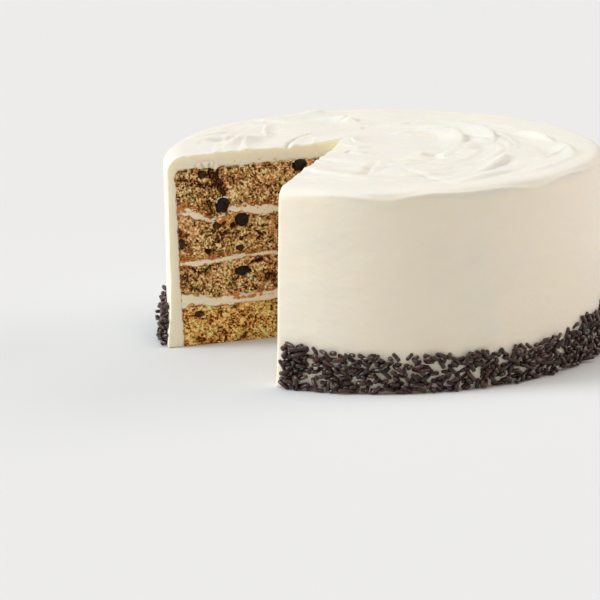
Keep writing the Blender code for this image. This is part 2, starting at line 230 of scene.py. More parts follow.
# %% [markdown]
# ## Where the cuts are
# The missing slice is a wedge. Every surface is laid out from the wedge's tip: a heading from the
# tip and a distance along it. Its first and last headings are then exactly the two cuts, which is
# what makes clean cut faces. The knife leant a little, so the tip lies further out near the foot.

# %% Headings and distances from the tip
def tip_at(height):
    """The tip at a height: the slice's tip, moved along the left cut by the lean times 1 - z / top."""
    lean = KNIFE_LEAN * (1 - np.asarray(height) / TOP_HEIGHT)
    along = np.array([math.cos(LEFT_CUT), math.sin(LEFT_CUT)])
    return SLICE_TIP + lean[..., None] * along


def unit(heading):
    """Unit vector (cos h, sin h)."""
    return np.stack([np.cos(heading), np.sin(heading)], axis=-1)


def reach(heading, radius, height):
    """Distance from the tip to a circle of radius r: -a + sqrt(a a - t t + r r).

    Here t is the tip's distance from the axis, and a the part of it that lies along the heading.
    """
    tip = tip_at(height)
    along = np.sum(tip * unit(heading), axis=-1)
    return -along + np.sqrt(along ** 2 - np.sum(tip ** 2, axis=-1) + radius ** 2)


def spot(heading, distance, height):
    """The point at a heading and a distance from the tip, at a height."""
    level = tip_at(height) + distance[..., None] * unit(heading)
    return np.concatenate([level, np.broadcast_to(height, level.shape[:-1])[..., None]], axis=-1)


CUTS = {"left": (LEFT_CUT, LEFT_CUT - math.pi / 2), "right": (RIGHT_CUT, RIGHT_CUT + math.pi / 2)}
for side, (cut, inward) in CUTS.items():
    length = reach(np.array(cut), CAKE_RADIUS, np.array(TOP_HEIGHT))
    print(f"{side} cut: {length / MM:.0f} mm from the tip to the wall")

# %% Boundaries between the layers
# Along the left cut the knife squeezed and tore the layers, so each boundary has its own course
# there: distances from the tip and heights in mm. Where 4 and 5 meet, a raisin broke the filling.
LEFT_EDGES = [
    [(0, 21.9), (38, 22.0), (43, 21.4), (56, 21.9), (62, 21.0), (76, 21.2), (83, 23.0), (88, 22.4),
     (92, 21.3)],
    [(0, 27.4), (38, 27.4), (47, 26.6), (55, 26.4), (61, 27.6), (64, 26.8), (75, 25.6), (80, 27.3),
     (93, 29.2)],
    [(0, 47.0), (38, 47.0), (52, 47.3), (56, 47.1), (60, 46.3), (67, 45.9), (75, 44.8), (88, 44.9),
     (93, 45.0)],
    [(0, 49.3), (38, 49.1), (52, 48.8), (60, 49.0), (67, 48.3), (75, 47.8), (83, 47.4), (88, 47.5),
     (94, 48.0)],
    [(0, 70.4), (38, 70.3), (43, 69.8), (47, 69.6), (52, 71.1), (58, 72.0), (63, 73.2), (66, 74.1),
     (70, 70.9), (73, 69.4), (75, 68.3), (79, 69.1), (83, 70.4), (87, 72.3), (91, 73.4), (95, 73.8)],
    [(0, 74.2), (38, 74.0), (43, 75.2), (47, 74.8), (52, 76.1), (61, 77.0), (65, 76.0), (67, 74.0),
     (70, 71.3), (73, 69.9), (75, 69.8), (78, 72.3), (81, 73.4), (84, 75.0), (88, 77.6), (91, 77.3),
     (95, 76.4)],
]


def core_radius(height):
    """Outside of the stack: a straight line from the foot's radius to the top's."""
    return CORE_FOOT_RADIUS + (CORE_TOP_RADIUS - CORE_FOOT_RADIUS) * height / CORE_TOP


def boundary_height(index, x, y):
    """Height of a boundary: its mean, and a sine wave along its own heading."""
    size, heading, phase = ROLLS[index]
    along = (x * math.cos(math.radians(heading)) + y * math.sin(math.radians(heading))) / ROLL_LENGTH
    return BOUNDARIES[index] + size * MM * np.sin(2 * math.pi * along + phase)


def cut_boundary(index, side, distance):
    """A boundary along a cut face: its own course on the left one, drawn from place to place."""
    if side == "left":
        places, heights = np.array(LEFT_EDGES[index]).T * MM
        return np.interp(distance, places, heights)
    x, y = np.moveaxis(SLICE_TIP + distance[..., None] * unit(CUTS[side][0]), -1, 0)
    return boundary_height(index, x, y)


for index in range(len(BOUNDARIES)):
    course = cut_boundary(index, "left", np.linspace(20, 90, 15) * MM) / MM
    print(f"boundary {index} on the left cut: {course.min():.1f} to {course.max():.1f} mm high")

# %% [markdown]
# ## Shaders
# Cream cheese frosting is off-white and satin: light goes a few millimetres into it, which softens
# every edge. Its colour drifts slightly, and a fine bump carries the drag of the knife. A node
# group is not needed for this; each finish is a short chain of nodes that ends in one shader, and
# patterns read the Object coordinates, because every piece's place is in its mesh.

# %% A small tool for node chains
class Finish:
    """A material whose nodes are added one by one; each call returns the new node's first output."""

    def __init__(self, name, **sockets):
        self.material = bpy.data.materials.new(name)
        self.material.use_nodes = True
        self.tree = self.material.node_tree
        self.shader = self.tree.nodes["Principled BSDF"]
        for socket, value in sockets.items():
            self.shader.inputs[socket.replace("_", " ")].default_value = value

    def node(self, kind, inputs=(), output=0, **settings):
        """Add a node, set its settings, and link or set the inputs that are named or numbered."""
        item = self.tree.nodes.new(kind)
        for setting, value in settings.items():
            setattr(item, setting, value)
        for socket, value in dict(inputs).items():
            self.join(value, item.inputs[socket])
        return item.outputs[output]

    def join(self, value, socket):
        """Link a chain's output to a socket, or set a plain value on it."""
        if isinstance(value, bpy.types.NodeSocket):
            self.tree.links.new(value, socket)
        else:
            socket.default_value = value

    def place(self, scale=(1, 1, 1), turn=0.0):
        """Object coordinates, stretched by a scale and turned about the vertical."""
        place = self.node("ShaderNodeTexCoord", output=3)
        return self.node("ShaderNodeMapping", {0: place, 2: (0, 0, turn), 3: scale})

    def speckle(self, size, place, detail=3.0):
        """Noise from 0 to 1 whose lumps have this size."""
        return self.node("ShaderNodeTexNoise", {"Vector": place, "Scale": 1 / size, "Detail": detail})

    def field(self, name):
        """A number stored at the piece's points."""
        return self.node("ShaderNodeAttribute", output=2, attribute_name=name)

    def maths(self, operation, first, second, clamp=False):
        """One sum or product of two numbers, each a value or a chain."""
        return self.node("ShaderNodeMath", {0: first, 1: second}, operation=operation, use_clamp=clamp)

    def spread(self, value, low, high, new_low=0.0, new_high=1.0):
        """Move a range of numbers to another, held at its ends."""
        return self.node("ShaderNodeMapRange", {0: value, 1: low, 2: high, 3: new_low, 4: new_high})

    def blend(self, share, first, second, mode="MIX"):
        """Mix two colours; the share may be a number or a chain."""
        inputs = {0: share, 6: first, 7: second}
        return self.node("ShaderNodeMix", inputs, output=2, data_type="RGBA", blend_type=mode)

    def ramp(self, value, *stops):
        """Colours at even steps from 0 to 1, with blends between them."""
        item = self.tree.nodes.new("ShaderNodeValToRGB")
        self.join(value, item.inputs[0])
        elements = item.color_ramp.elements
        elements[0].color, elements[1].color = stops[0], stops[-1]
        for step, colour in enumerate(stops[1:-1]):
            elements.new((step + 1) / (len(stops) - 1)).color = colour
        return item.outputs[0]

    def bump(self, height, depth):
        """Tilt the light as if the surface rose by a depth where the chain gives 1."""
        relief = self.node("ShaderNodeBump", {"Height": height, "Distance": depth, "Strength": 1.0})
        self.join(relief, self.shader.inputs["Normal"])

    def colour(self, value):
        """Use a chain as the colour."""
        self.join(value, self.shader.inputs["Base Color"])

    def roughness(self, pattern, low, high):
        """Roughness from low to high as a noise pattern goes from 0.3 to 0.7, its usual range."""
        self.join(self.spread(pattern, 0.3, 0.7, low, high), self.shader.inputs["Roughness"])


def tint(red, green, blue):
    """A colour as seen on a screen, from 0 to 255, turned into light: ((c + 0.055) / 1.055) ^ 2.4."""
    screen = np.array([red, green, blue]) / 255
    light = np.where(screen > 0.04045, ((screen + 0.055) / 1.055) ** 2.4, screen / 12.92)
    return (*light.tolist(), 1.0)


# %% Cream
DRAG_DEPTH = 0.3 * MM


def cream_finish(name, light_goes, plain_tint, warm=None):
    """Cream: a plain tint, a warmer one where the field "side" is 1 as painted shade, and stains of
    crumb.
    """
    finish = Finish(name, Subsurface_Weight=0.7, Subsurface_Scale=light_goes, Specular_IOR_Level=0.35)
    finish.shader.inputs["Subsurface Radius"].default_value = (1.0, 0.75, 0.45)
    drift = finish.spread(finish.speckle(34 * MM, finish.place()), 0.3, 0.7, -0.25, 0.25)
    # On the frosting the wall's warmer tint is painted shade, for the warm, dim light on the wall
    share = finish.maths("ADD", finish.field("side"), drift, clamp=True)
    colour = finish.blend(share, plain_tint, warm or plain_tint)
    spots = finish.speckle(1.7 * MM, finish.place(), 2.0)
    stain = finish.spread(finish.maths("ADD", finish.field("stain"), spots), 0.8, 1.2, 0, 0.95)
    finish.colour(finish.blend(stain, colour, tint(196, 124, 34)))
    drag = finish.speckle(8 * MM, finish.place((1, 1, 2.2)), 3.0)
    grain = finish.speckle(0.9 * MM, finish.place(), 2.0)
    finish.bump(finish.maths("ADD", drag, finish.maths("MULTIPLY", grain, 0.18)), DRAG_DEPTH)
    finish.roughness(drag, 0.36, 0.5)
    return finish.material


# Painted light and shade: a cooler, darker top, as it is lit most, and a warmer wall for its shade
frosting_cream = cream_finish("cream cheese frosting", 2.5 * MM, tint(224, 225, 216),
                              tint(241, 236, 219))
# Painted light: cut faces lighter and warmer than the coat, for bounce in the notch and light through
# the cream
cut_frosting = cream_finish("cut frosting", 3 * MM, tint(255, 252, 228))
filling_cream = cream_finish("cream filling", 1.2 * MM, tint(255, 248, 224))
creams = (frosting_cream, cut_frosting, filling_cream)
print("finishes:", ", ".join(material.name for material in creams))

# %% [markdown]
# ## The top that the knife swirled
# A palette knife leaves arcs: it lifts a lip on one side and presses a trough on the other, and
# where it leaves the cream the lip ends abruptly. The solid has fifteen broad strokes. Here each
# gets a crisp lip, short creases are added where strokes meet, and some sixty finer arcs lie
# between them along a spiral, which is how the knife moves while the cake turns under it.

# %% Broad strokes, as in the solid
# Radius in mm and heading in degrees where a stroke starts and where it ends, its width and its
# height in mm
STROKES = [
    (92, 107, 70, 101, 7, 1.3), (80, 261, 59, 272, 8, -0.9), (63, 61, 43, 7, 9, 1.6),
    (81, 59, 61, 8, 9, 1.3), (52, -10, 61, 5, 7, -1.1), (88, 28, 95, 7, 8, 1.2),
    (99, 2, 106, -14, 8, 1.1), (87, -55, 75, -22, 9, 1.2), (90, 183, 73, 151, 9, 1.5),
    (112, 134, 90, 128, 8, -1.1), (108, 116, 102, 108, 8, 1.3), (34, -35, 46, -44, 8, -1.0),
    (102, 168, 72, 154, 14, -1.3), (70, 230, 92, 268, 12, 0.9), (104, 292, 96, 318, 10, 1.0),
]
# Short creases and crests between them, where the knife stopped or two strokes met, written alike
CREASES = [
    (91, 184, 73, 152, 2.6, -0.75), (107, 162, 92, 150, 4, -0.6), (106, 139, 105, 134, 3, -0.7),
    (87, 138, 71, 155, 4, 0.6), (98, 130, 92, 127, 2.5, -0.5), (76, 110, 85, 98, 3, -0.6),
    (50, 107, 54, 101, 2.5, 0.6), (27, 222, 19, 210, 2.5, -0.5), (40, 268, 84, 261, 3, -0.4),
    (44, 346, 62, 2, 3, -0.9), (33, 308, 38, 337, 2.5, -0.7), (60, 280, 114, 291, 3, -0.45),
    (91, 303, 74, 341, 2.5, -0.5), (85, 25, 95, 6, 3, 0.8), (101, 355, 92, 337, 3, 0.6),
    (65, 79, 72, 74, 2.5, -0.6), (91, 42, 95, 37, 2, -0.6),
]
STROKE_SAMPLES = 24
STROKE_ENDS = 0.25      # a stroke's height runs along a sine from this angle to as far before its end
CRISP = 0.14            # width of a lip's steep side, as a share of the stroke's width
LIFT = 2.1              # the lips stand higher than in the solid, whose coarse grid can't be crisp
print(len(STROKES), "broad strokes and", len(CREASES), "short creases")


# %% Height of one stroke
def beside(x, y, path):
    """Signed distance from a path of short steps, positive outwards, and the share along it."""
    start = path[:-1]
    step = np.diff(path, axis=0)
    gap_x = x[..., None] - start[:, 0]
    gap_y = y[..., None] - start[:, 1]
    share = np.clip((gap_x * step[:, 0] + gap_y * step[:, 1]) / np.sum(step ** 2, axis=1), 0, 1)
    gap_x = gap_x - share * step[:, 0]
    gap_y = gap_y - share * step[:, 1]
    distance = np.hypot(gap_x, gap_y)
    nearest = np.argmin(distance, axis=-1)[..., None]

    def pick(values):
        return np.take_along_axis(values, nearest, -1)[..., 0]

    outward = np.sign(pick(gap_x) * x + pick(gap_y) * y)
    return outward * pick(distance), (nearest[..., 0] + pick(share)) / len(step)


def stroke_height(x, y, stroke):
    """A lip exp(-(d / w)^2), steep outside and gentle inside, and a trough 1.3 widths further in."""
    radii = np.linspace(stroke[0], stroke[2], STROKE_SAMPLES) * MM
    path = radii[:, None] * unit(np.radians(np.linspace(stroke[1], stroke[3], STROKE_SAMPLES)))
    width = stroke[4] * MM
    across, share = beside(x, y, path)
    lift = stroke[5] * MM * np.sin(STROKE_ENDS + share * (math.pi - 2 * STROKE_ENDS))
    lip = np.exp(-(across / np.where(across > 0, CRISP * width, width)) ** 2)
    trough = np.exp(-((across + 1.3 * width) / width) ** 2)
    return LIFT * lift * (lip - 0.5 * trough)


# %% Finer arcs of the knife
ARC_COUNT = 66
draw = np.random.default_rng(23)
ARCS = np.column_stack([
    draw.uniform(0, 2 * math.pi, ARC_COUNT),                        # heading at the start
    draw.uniform(math.radians(18), math.radians(62), ARC_COUNT),    # sweep
    CAKE_RADIUS * np.sqrt(draw.uniform(0.03, 0.78, ARC_COUNT)),     # radius at the start
    draw.uniform(-14, 5, ARC_COUNT) * MM,                           # change of radius along the sweep
    draw.uniform(2.5, 6.5, ARC_COUNT) * MM,                         # width of the lip
    draw.uniform(0.2, 0.85, ARC_COUNT) * MM,                        # height of the lip
])


def arc_heights(x, y):
    """Sum of arcs r = r0 + change * share, with lips as above, fading in and ending short."""
    radius = np.hypot(x, y)
    heading = np.arctan2(y, x)
    total = np.zeros(x.shape)
    for first, sweep, start, change, width, lift in ARCS:
        share = np.mod(heading - first, 2 * math.pi) / sweep
        across = radius - start - change * share
        lip = np.exp(-(across / np.where(across > 0, CRISP * width, width)) ** 2)
        total += lift * lip * smooth_step(2.5 * share) * smooth_step(8 * (1 - share))
    return total


def top_height(x, y):
    """Level, plus a swelling at the tip, strokes and arcs that fade at the rim, and a gentle roll."""
    off_tip = (x - SLICE_TIP[0]) ** 2 + (y - SLICE_TIP[1]) ** 2
    swell = TIP_RISE * np.exp(-off_tip / TIP_RISE_WIDTH ** 2)
    strokes = sum(stroke_height(x, y, stroke) for stroke in STROKES + CREASES)
    rim_fade = smooth_step((CAKE_RADIUS - np.hypot(x, y)) / (1.6 * SHOULDER_WIDTH))
    roll = 0.35 * MM * noise(np.stack([x, y, 0 * x], axis=-1), 31 * MM)
    return TOP_HEIGHT + swell + (strokes + arc_heights(x, y)) * rim_fade + roll


samples = top_height(*np.random.default_rng(2).uniform(-70 * MM, 70 * MM, (2, 400)))
print(f"top between {samples.min() / MM:.1f} and {samples.max() / MM:.1f} mm")

# %% [markdown]
# ## The side of the frosting
# The side was smoothed with a scraper while the cake turned, so it is almost even, with faint
# level marks. It rounds over into the top. At the front right the scraper came up last and pushed
# the cream into a sharper corner with a thin wavy lip over the side.

# %% Height of the band of sprinkles
BAND_MEAN = 22.3 * MM
# It is lower at the front right, and higher beside either cut: heading and width in degrees, height
BAND_SWELLS = [(288, 28, -6.0 * MM), (190, 20, 2.2 * MM), (246, 6, 3.0 * MM)]


def turn_between(heading, other):
    """Signed angle from the other heading, between -180 and 180 degrees."""
    return np.mod(heading - other + math.pi, 2 * math.pi) - math.pi


def bell(heading, place, width):
    """Share exp(-(t / w)^2) of a swelling at the turn t from its place, with both in degrees."""
    return np.exp(-(turn_between(heading, math.radians(place)) / math.radians(width)) ** 2)


def band_height(heading):
    """Mean height of the band: 22.3 mm and the three swells."""
    height = BAND_MEAN
    for place, width, rise in BAND_SWELLS:
        height = height + rise * bell(heading, place, width)
    return height


samples = band_height(np.linspace(RIGHT_CUT, LEFT_CUT + 2 * math.pi, 50)) / MM
print(f"band of sprinkles {samples.min():.1f} to {samples.max():.1f} mm high")

# %% Wall, foot and shoulder
LIP_HEADING = math.radians(314)
LIP_SWEEP = math.radians(44)
LIP_PROUD = 1.0 * MM
LIP_POWER = 2.5         # how much sharper than round the shoulder gets there


def front_lip(heading):
    """Share from 0 to 1 of the sharper corner at a heading."""
    return smooth_step(1.35 * (1 - np.abs(turn_between(heading, LIP_HEADING)) / (2 * LIP_SWEEP)))


def wall_radius(heading, height):
    """Radius of the wall: the coat's, two slow waves, faint level marks, and a bulge at the foot.

    Beside the left cut the knife pulled it in.
    """
    heading, height = np.broadcast_arrays(heading, height)
    uneven = 0.35 * MM * np.sin(2 * heading + 1.0) + 0.3 * MM * np.sin(3 * heading + height / (30 * MM))
    pulled = 1.5 * MM * bell(heading, 193, 11)
    foot = FOOT_BULGE * (1 - smooth_step(height / band_height(heading)))
    marks = np.stack([40 * MM * np.cos(heading), 40 * MM * np.sin(heading), height], axis=-1)
    even = CAKE_RADIUS + uneven - pulled + foot
    return even + 0.16 * MM * noise(marks, 7 * MM) + 0.1 * MM * noise(marks, 2.5 * MM)


def wall_reach(heading, inset, height):
    """Distance from the tip to the wall less an inset, in three rounds, as the wall isn't a circle."""
    radius = CAKE_RADIUS - inset
    for _ in range(3):
        place = spot(heading, reach(heading, radius, height), height)
        radius = wall_radius(np.arctan2(place[..., 1], place[..., 0]), height) - inset
    return reach(heading, radius, height)


samples = wall_radius(np.linspace(RIGHT_CUT, LEFT_CUT + 2 * math.pi, 200), 60 * MM) / MM
print(f"wall {samples.min():.1f} to {samples.max():.1f} mm from the axis, 60 mm up")

# %% The coat's outside, as one grid
TOP_ROWS = 113
SHOULDER_ROWS = 16
WALL_ROWS = 56
COLUMNS = 440
BESIDE_CUT = np.radians([0.1, 0.25, 0.45])
# Shares of the way out over the top, closer near the tip, and of the height on the way down
OUT = (np.arange(TOP_ROWS) / TOP_ROWS)[:, None] ** 1.15
DOWN = (1 - np.arange(1, WALL_ROWS + 1) / WALL_ROWS)[:, None]


def coat_headings():
    """Even steps from cut to cut, with a few finer ones beside each cut for its rounded edge."""
    first, last = RIGHT_CUT, LEFT_CUT + 2 * math.pi
    even = np.linspace(first, last, COLUMNS + 1 - 2 * len(BESIDE_CUT))
    return np.sort(np.concatenate([even, first + BESIDE_CUT, last - BESIDE_CUT]))


def coat_outside(headings):
    """Rows from the tip over the top, round the shoulder and down the wall, for every heading.

    The shoulder is a quarter of |x|^p + |z|^p = 1, with p from 2, round, to 4.5 at the front lip.
    """
    foot = np.full((1, len(headings)), TOP_HEIGHT - SHOULDER_DEPTH)
    edge = wall_reach(headings[None], SHOULDER_WIDTH, foot)
    place = spot(headings[None], OUT * edge, np.full(OUT.shape, TOP_HEIGHT))
    top = spot(headings[None], OUT * edge, top_height(place[..., 0], place[..., 1]))
    at = np.arctan2(place[-1:, :, 1], place[-1:, :, 0])
    power = 2 / (2 + LIP_POWER * front_lip(at))
    turn = np.linspace(90, 0, SHOULDER_ROWS)[:, None]
    inset = SHOULDER_WIDTH * (1 - np.cos(np.radians(turn)) ** power)
    fall = SHOULDER_DEPTH * (1 - np.sin(np.radians(turn)) ** power)
    edge = spot(headings[None], wall_reach(headings[None], inset, foot), TOP_HEIGHT - fall)
    shoulder = edge.copy()
    shoulder[..., 2] = top_height(edge[..., 0], edge[..., 1]) - fall
    wavy = 9 * np.sin(9 * at) + 6 * np.sin(17 * at)
    lip = front_lip(at) * LIP_PROUD * np.exp(-((turn - 22 - wavy) / 9) ** 2)
    shoulder[..., :2] += lip[..., None] * unit(at)
    down = foot[0, 0] * DOWN * np.ones((1, len(headings)))
    wall = spot(headings[None], wall_reach(headings[None], 0.0, down), down)
    return np.concatenate([top, shoulder, wall])


headings = coat_headings()
coat = coat_outside(headings)
print("coat grid:", coat.shape[:2], "and its highest point", round(coat[..., 2].max() / MM, 1), "mm")

# %% [markdown]
# ## The frosting's cut faces and inside
# Where the knife went through, the coat shows its own thickness: a band over the crumb and a strip
# down the side. That face is a strip from the outer profile to the inner one, and it dives a
# little behind the crumb, so that the line between cream and crumb comes out ragged by itself.
# The inside that nobody sees is a coarse surface at the solid's place.

# %% Cream cut by a knife
DIVE = 1.2 * MM         # how far a face goes on behind its neighbour
TIP_FADE = 2.0 * MM     # relief dies out towards the tip's edge, where both faces meet


def from_tip(points):
    """Level distance of points from the tip's edge."""
    return np.linalg.norm(points[..., :2] - tip_at(points[..., 2]), axis=-1)


def cut_axes(side):
    """Two level unit vectors of a cut face: along it, away from the tip, and into the cake."""
    return [np.array([*unit(np.array(heading)), 0.0]) for heading in CUTS[side]]


def push_in(points, side, depth):
    """Move points of a cut face into the cake by a depth that dies out at the tip's edge."""
    depth = depth * smooth_step(from_tip(points) / TIP_FADE)
    return points + depth[..., None] * cut_axes(side)[1]


def cream_depth(points, edge):
    """Depth of cut cream: faint drags of the knife, and a dive within 0.2 mm of the face's edge."""
    drags = 0.22 * MM * fractal(points * (1, 1, 1.8), 6 * MM, 3) + 0.05 * MM * noise(points, 1.3 * MM)
    ragged = 0.6 * MM * fractal(points, 2.6 * MM, 3, 6.0)
    return drags + DIVE * smooth_step((0.2 * MM + ragged - edge) / (1.0 * MM))


# %% Inside of the coat
def coat_inside(headings, closer, rows):
    """Rows like the outside's, along the stack's top, round its corner and down its side.

    The profile is the stack's own, moved towards the stack by a distance.
    """
    turn = np.radians(np.linspace(90, 0, SHOULDER_ROWS))[:, None]
    level = np.full((1, len(headings)), CORE_TOP)
    edge = reach(headings[None], core_radius(CORE_TOP) - CORE_CORNER, level)
    top = spot(headings[None], OUT * edge, level - closer + 0 * OUT)
    fall = CORE_TOP - CORE_CORNER * (1 - np.sin(turn)) - closer * np.sin(turn) + 0 * level
    radius = core_radius(CORE_TOP) - CORE_CORNER * (1 - np.cos(turn)) - closer * np.cos(turn)
    corner = spot(headings[None], reach(headings[None], radius, fall), fall)
    fall = (CORE_TOP - CORE_CORNER) * DOWN + 0 * level
    wall = spot(headings[None], reach(headings[None], core_radius(fall) - closer, fall), fall)
    return np.concatenate([top, corner, wall])[::rows]


# %% Edges and faces of the cut cream
CUT_ROWS = 15
SOFTENED = 1.1 * MM     # the knife left the cut edges slightly rounded


def soften_cut_edges(coat, headings):
    """Pull the outside back beside each cut, by 0.5 w (1 - q / w)^2 at a distance q from it."""
    off = np.minimum(headings - headings[0], headings[-1] - headings)
    q = from_tip(coat) * np.sin(np.minimum(off, math.pi / 2))
    fall = 0.5 * SOFTENED * np.maximum(1 - q / SOFTENED, 0) ** 2
    turn = [np.full(TOP_ROWS, 90), np.linspace(90, 0, SHOULDER_ROWS), np.zeros(WALL_ROWS)]
    turn = np.radians(np.concatenate(turn))[:, None]
    at = np.arctan2(coat[..., 1], coat[..., 0])
    normal = [np.cos(turn)[..., None] * unit(at), np.sin(turn)[..., None] + 0 * at[..., None]]
    return coat - fall[..., None] * np.concatenate(normal, axis=-1)


def cut_cream(side, outer, heading):
    """The coat's cut face: rows from the outer profile to the inner one, then on behind the crumb."""
    def inner(closer):
        return coat_inside(np.array([heading]), closer, 1)[:, 0]

    share = np.linspace(0, 1, CUT_ROWS)[:, None, None]
    flat = outer * (1 - share) + inner(0.0) * share
    edge = np.linalg.norm(inner(0.0) - flat, axis=-1)
    face = push_in(flat, side, cream_depth(flat, edge) * smooth_step(share[..., 0] * 5))
    rows = [face[1:]]
    for closer in np.linspace(0, DIVE, 5)[1:]:
        behind = inner(closer)[None]
        rows.append(push_in(behind, side, cream_depth(behind, np.full(behind.shape[:-1], -closer))))
    return np.concatenate(rows)


# %% The whole coat
SEAM = 4                # a hidden surface has one step for so many of the visible one


def colour_cut_faces(item):
    """Give the second material, with painted light, to the faces whose three points all lie on a cut.
    """
    item.data.materials.append(cut_frosting)
    cut = np.zeros(len(item.data.vertices), np.float32)
    item.data.attributes["cut"].data.foreach_get("value", cut)
    corners = np.zeros(3 * len(item.data.polygons), np.int32)
    item.data.polygons.foreach_get("vertices", corners)
    second = cut[corners].reshape(-1, 3).min(axis=1) > 0.5
    item.data.polygons.foreach_set("material_index", second.astype(np.int32))


def build_frosting():
    """The outside, both cut faces, the coarse inside and the foot, sharing their borders."""
    surface = Surface("cut", "side")
    # How far down the shoulder a point lies; it picks the wall's warmer tint, which is painted shade
    fallen = smooth_step((coat[TOP_ROWS - 1:TOP_ROWS, :, 2] - coat[..., 2]) / SHOULDER_DEPTH)
    outside = surface.place(soften_cut_edges(coat, headings), side=fallen)
    outside[0] = outside[0, 0]
    surface.grid(outside)
    borders = []
    for side, column in (("right", 0), ("left", -1)):
        face = surface.place(cut_cream(side, coat[:, column], headings[column]), cut=1.0)
        if borders:
            face[:, 0] = borders[0][1:, 0]
        face = np.concatenate([outside[:, column][None], face])
        surface.grid(face)
        borders.append(face)
        foot = face[:, -1]
        surface.triangles.append(np.stack([0 * foot[1:-1] + foot[0], foot[1:-1], foot[2:]], axis=-1))
    hidden_headings = np.linspace(headings[0], headings[-1], COLUMNS // SEAM + 1)[1:-1]
    inside = surface.place(coat_inside(hidden_headings, 0.0, SEAM))
    inside[0] = borders[0][-1, 0]
    surface.grid(inside)
    surface.seam(borders[0][-1], inside[:, 0])
    surface.seam(borders[1][-1], inside[:, -1])
    foot = np.concatenate([borders[0][-1, -1:], inside[-1], borders[1][-1, -1:]])
    surface.seam(outside[-1], foot)
    colour_cut_faces(surface.piece("frosting_coat", frosting_cream, "frosting", "frosting"))


build_frosting()

# %% [markdown]
# ## The crumb
# A baked sponge is a foam of small bubbles. A knife opens them, so the cut face is a crowd of
# golden grains with dark pits between. Painting that on a flat face would look flat from the side,
# so the face itself is moved: grains about a millimetre wide with creases between, small pits,
# a few large holes, and hollows round the raisins. How deep each point lies, and a random tone for
# each grain, are stored on the points for the colour to use. The colour darkens where a point lies
# hollow: partly the crumb's own darker pits, and partly painted shade in the pits, creases, openings
# and round the raisins.

# %% Raisins and openings on the cut faces
# Cut, distance from the tip, height, half width and half height, in mm
RAISINS = [
    ("left", 69.9, 77.0, 3.7, 4.6), ("left", 58.4, 68.4, 3.3, 3.7), ("left", 25.5, 95.6, 3.6, 3.2),
    ("left", 57.8, 39.5, 4.1, 2.2), ("left", 81.8, 95.0, 2.2, 1.8), ("left", 73.0, 66.0, 2.4, 1.7),
    ("left", 93.2, 57.6, 1.4, 2.5), ("left", 59.6, 52.4, 2.2, 1.2), ("left", 43.2, 35.3, 1.4, 1.6),
    ("right", 44, 88.0, 3.9, 3.1), ("right", 96, 82.5, 3.3, 2.9), ("right", 73, 60.0, 3.6, 3.3),
    ("right", 103, 39.0, 3.2, 3.5), ("right", 38, 34.0, 3.0, 2.4), ("right", 84, 12.0, 3.5, 2.9),
    ("left", 83, 17.4, 2.0, 1.5), ("right", 60, 16.5, 1.8, 1.4), ("right", 112, 66.0, 2.2, 1.7),
]
# Ragged openings where a bubble ran up through the crumb: cut, and its line from place to place
OPENINGS = [
    ("left", 74.6, 97.5, 73.4, 90.5, 2.1), ("left", 73.4, 90.5, 69.6, 84.0, 2.3),
    ("left", 78.0, 96.5, 77.2, 93.0, 0.8), ("left", 83.5, 90.0, 81.0, 87.5, 0.6),
    ("left", 60.5, 65.8, 64.0, 65.0, 1.2), ("left", 50.0, 61.0, 46.0, 58.0, 0.6),
    ("left", 46.4, 44.6, 52.0, 43.6, 0.9), ("left", 79.3, 52.3, 77.3, 51.8, 1.1),
    ("right", 58.0, 94.0, 63.0, 88.5, 1.2), ("right", 86.0, 31.0, 91.0, 29.0, 1.2),
]
print(len(RAISINS), "raisins and", len(OPENINGS), "openings")


# %% Shapes of openings, pits and hollows
def near_line(along, up, opening):
    """Distance to an opening's line, in mm, as a share of its half width."""
    _, s0, z0, s1, z1, width = opening
    share = ((along - s0) * (s1 - s0) + (up - z0) * (z1 - z0)) / ((s1 - s0) ** 2 + (z1 - z0) ** 2)
    share = np.clip(share, 0, 1)
    return np.hypot(along - s0 - share * (s1 - s0), up - z0 - share * (z1 - z0)) / width


def pit(distance, radius):
    """Depth share of a round pit: sqrt(1 - (d / r)^2) inside it."""
    return np.sqrt(np.maximum(1 - (distance / np.maximum(radius, 1e-6)) ** 2, 0))


def opened_crumb(points, side, along, up):
    """How open the crumb is, from 0 to 1: along the ragged openings, and 0.75 round the raisins."""
    opened = np.zeros(along.shape)
    for opening in OPENINGS:
        if opening[0] == side:
            ragged = near_line(along / MM, up / MM, opening) + 0.5 * fractal(points, 2.2 * MM, 3, 5.0)
            opened = np.maximum(opened, smooth_step(1.9 - 1.3 * ragged))
    for cut, place, height, wide, tall in RAISINS:
        if cut == side:
            near = np.hypot((along / MM - place) / wide, (up / MM - height) / tall)
            near = near + 0.16 * fractal(points, 2.0 * MM, 2, 5.0)
            opened = np.maximum(opened, 0.75 * smooth_step((1.25 - near) * 3.5))
    return opened


# %% Grains, and the whole relief
GRAIN = 0.95 * MM
SMALL_PIT = 2.3 * MM    # mean distance between small pits, and between large ones
LARGE_PIT = 6.5 * MM
MISSING = 0.22          # share of the grains that are missing
OPEN_DEPTH = 2.6        # depth of an opening, in mm


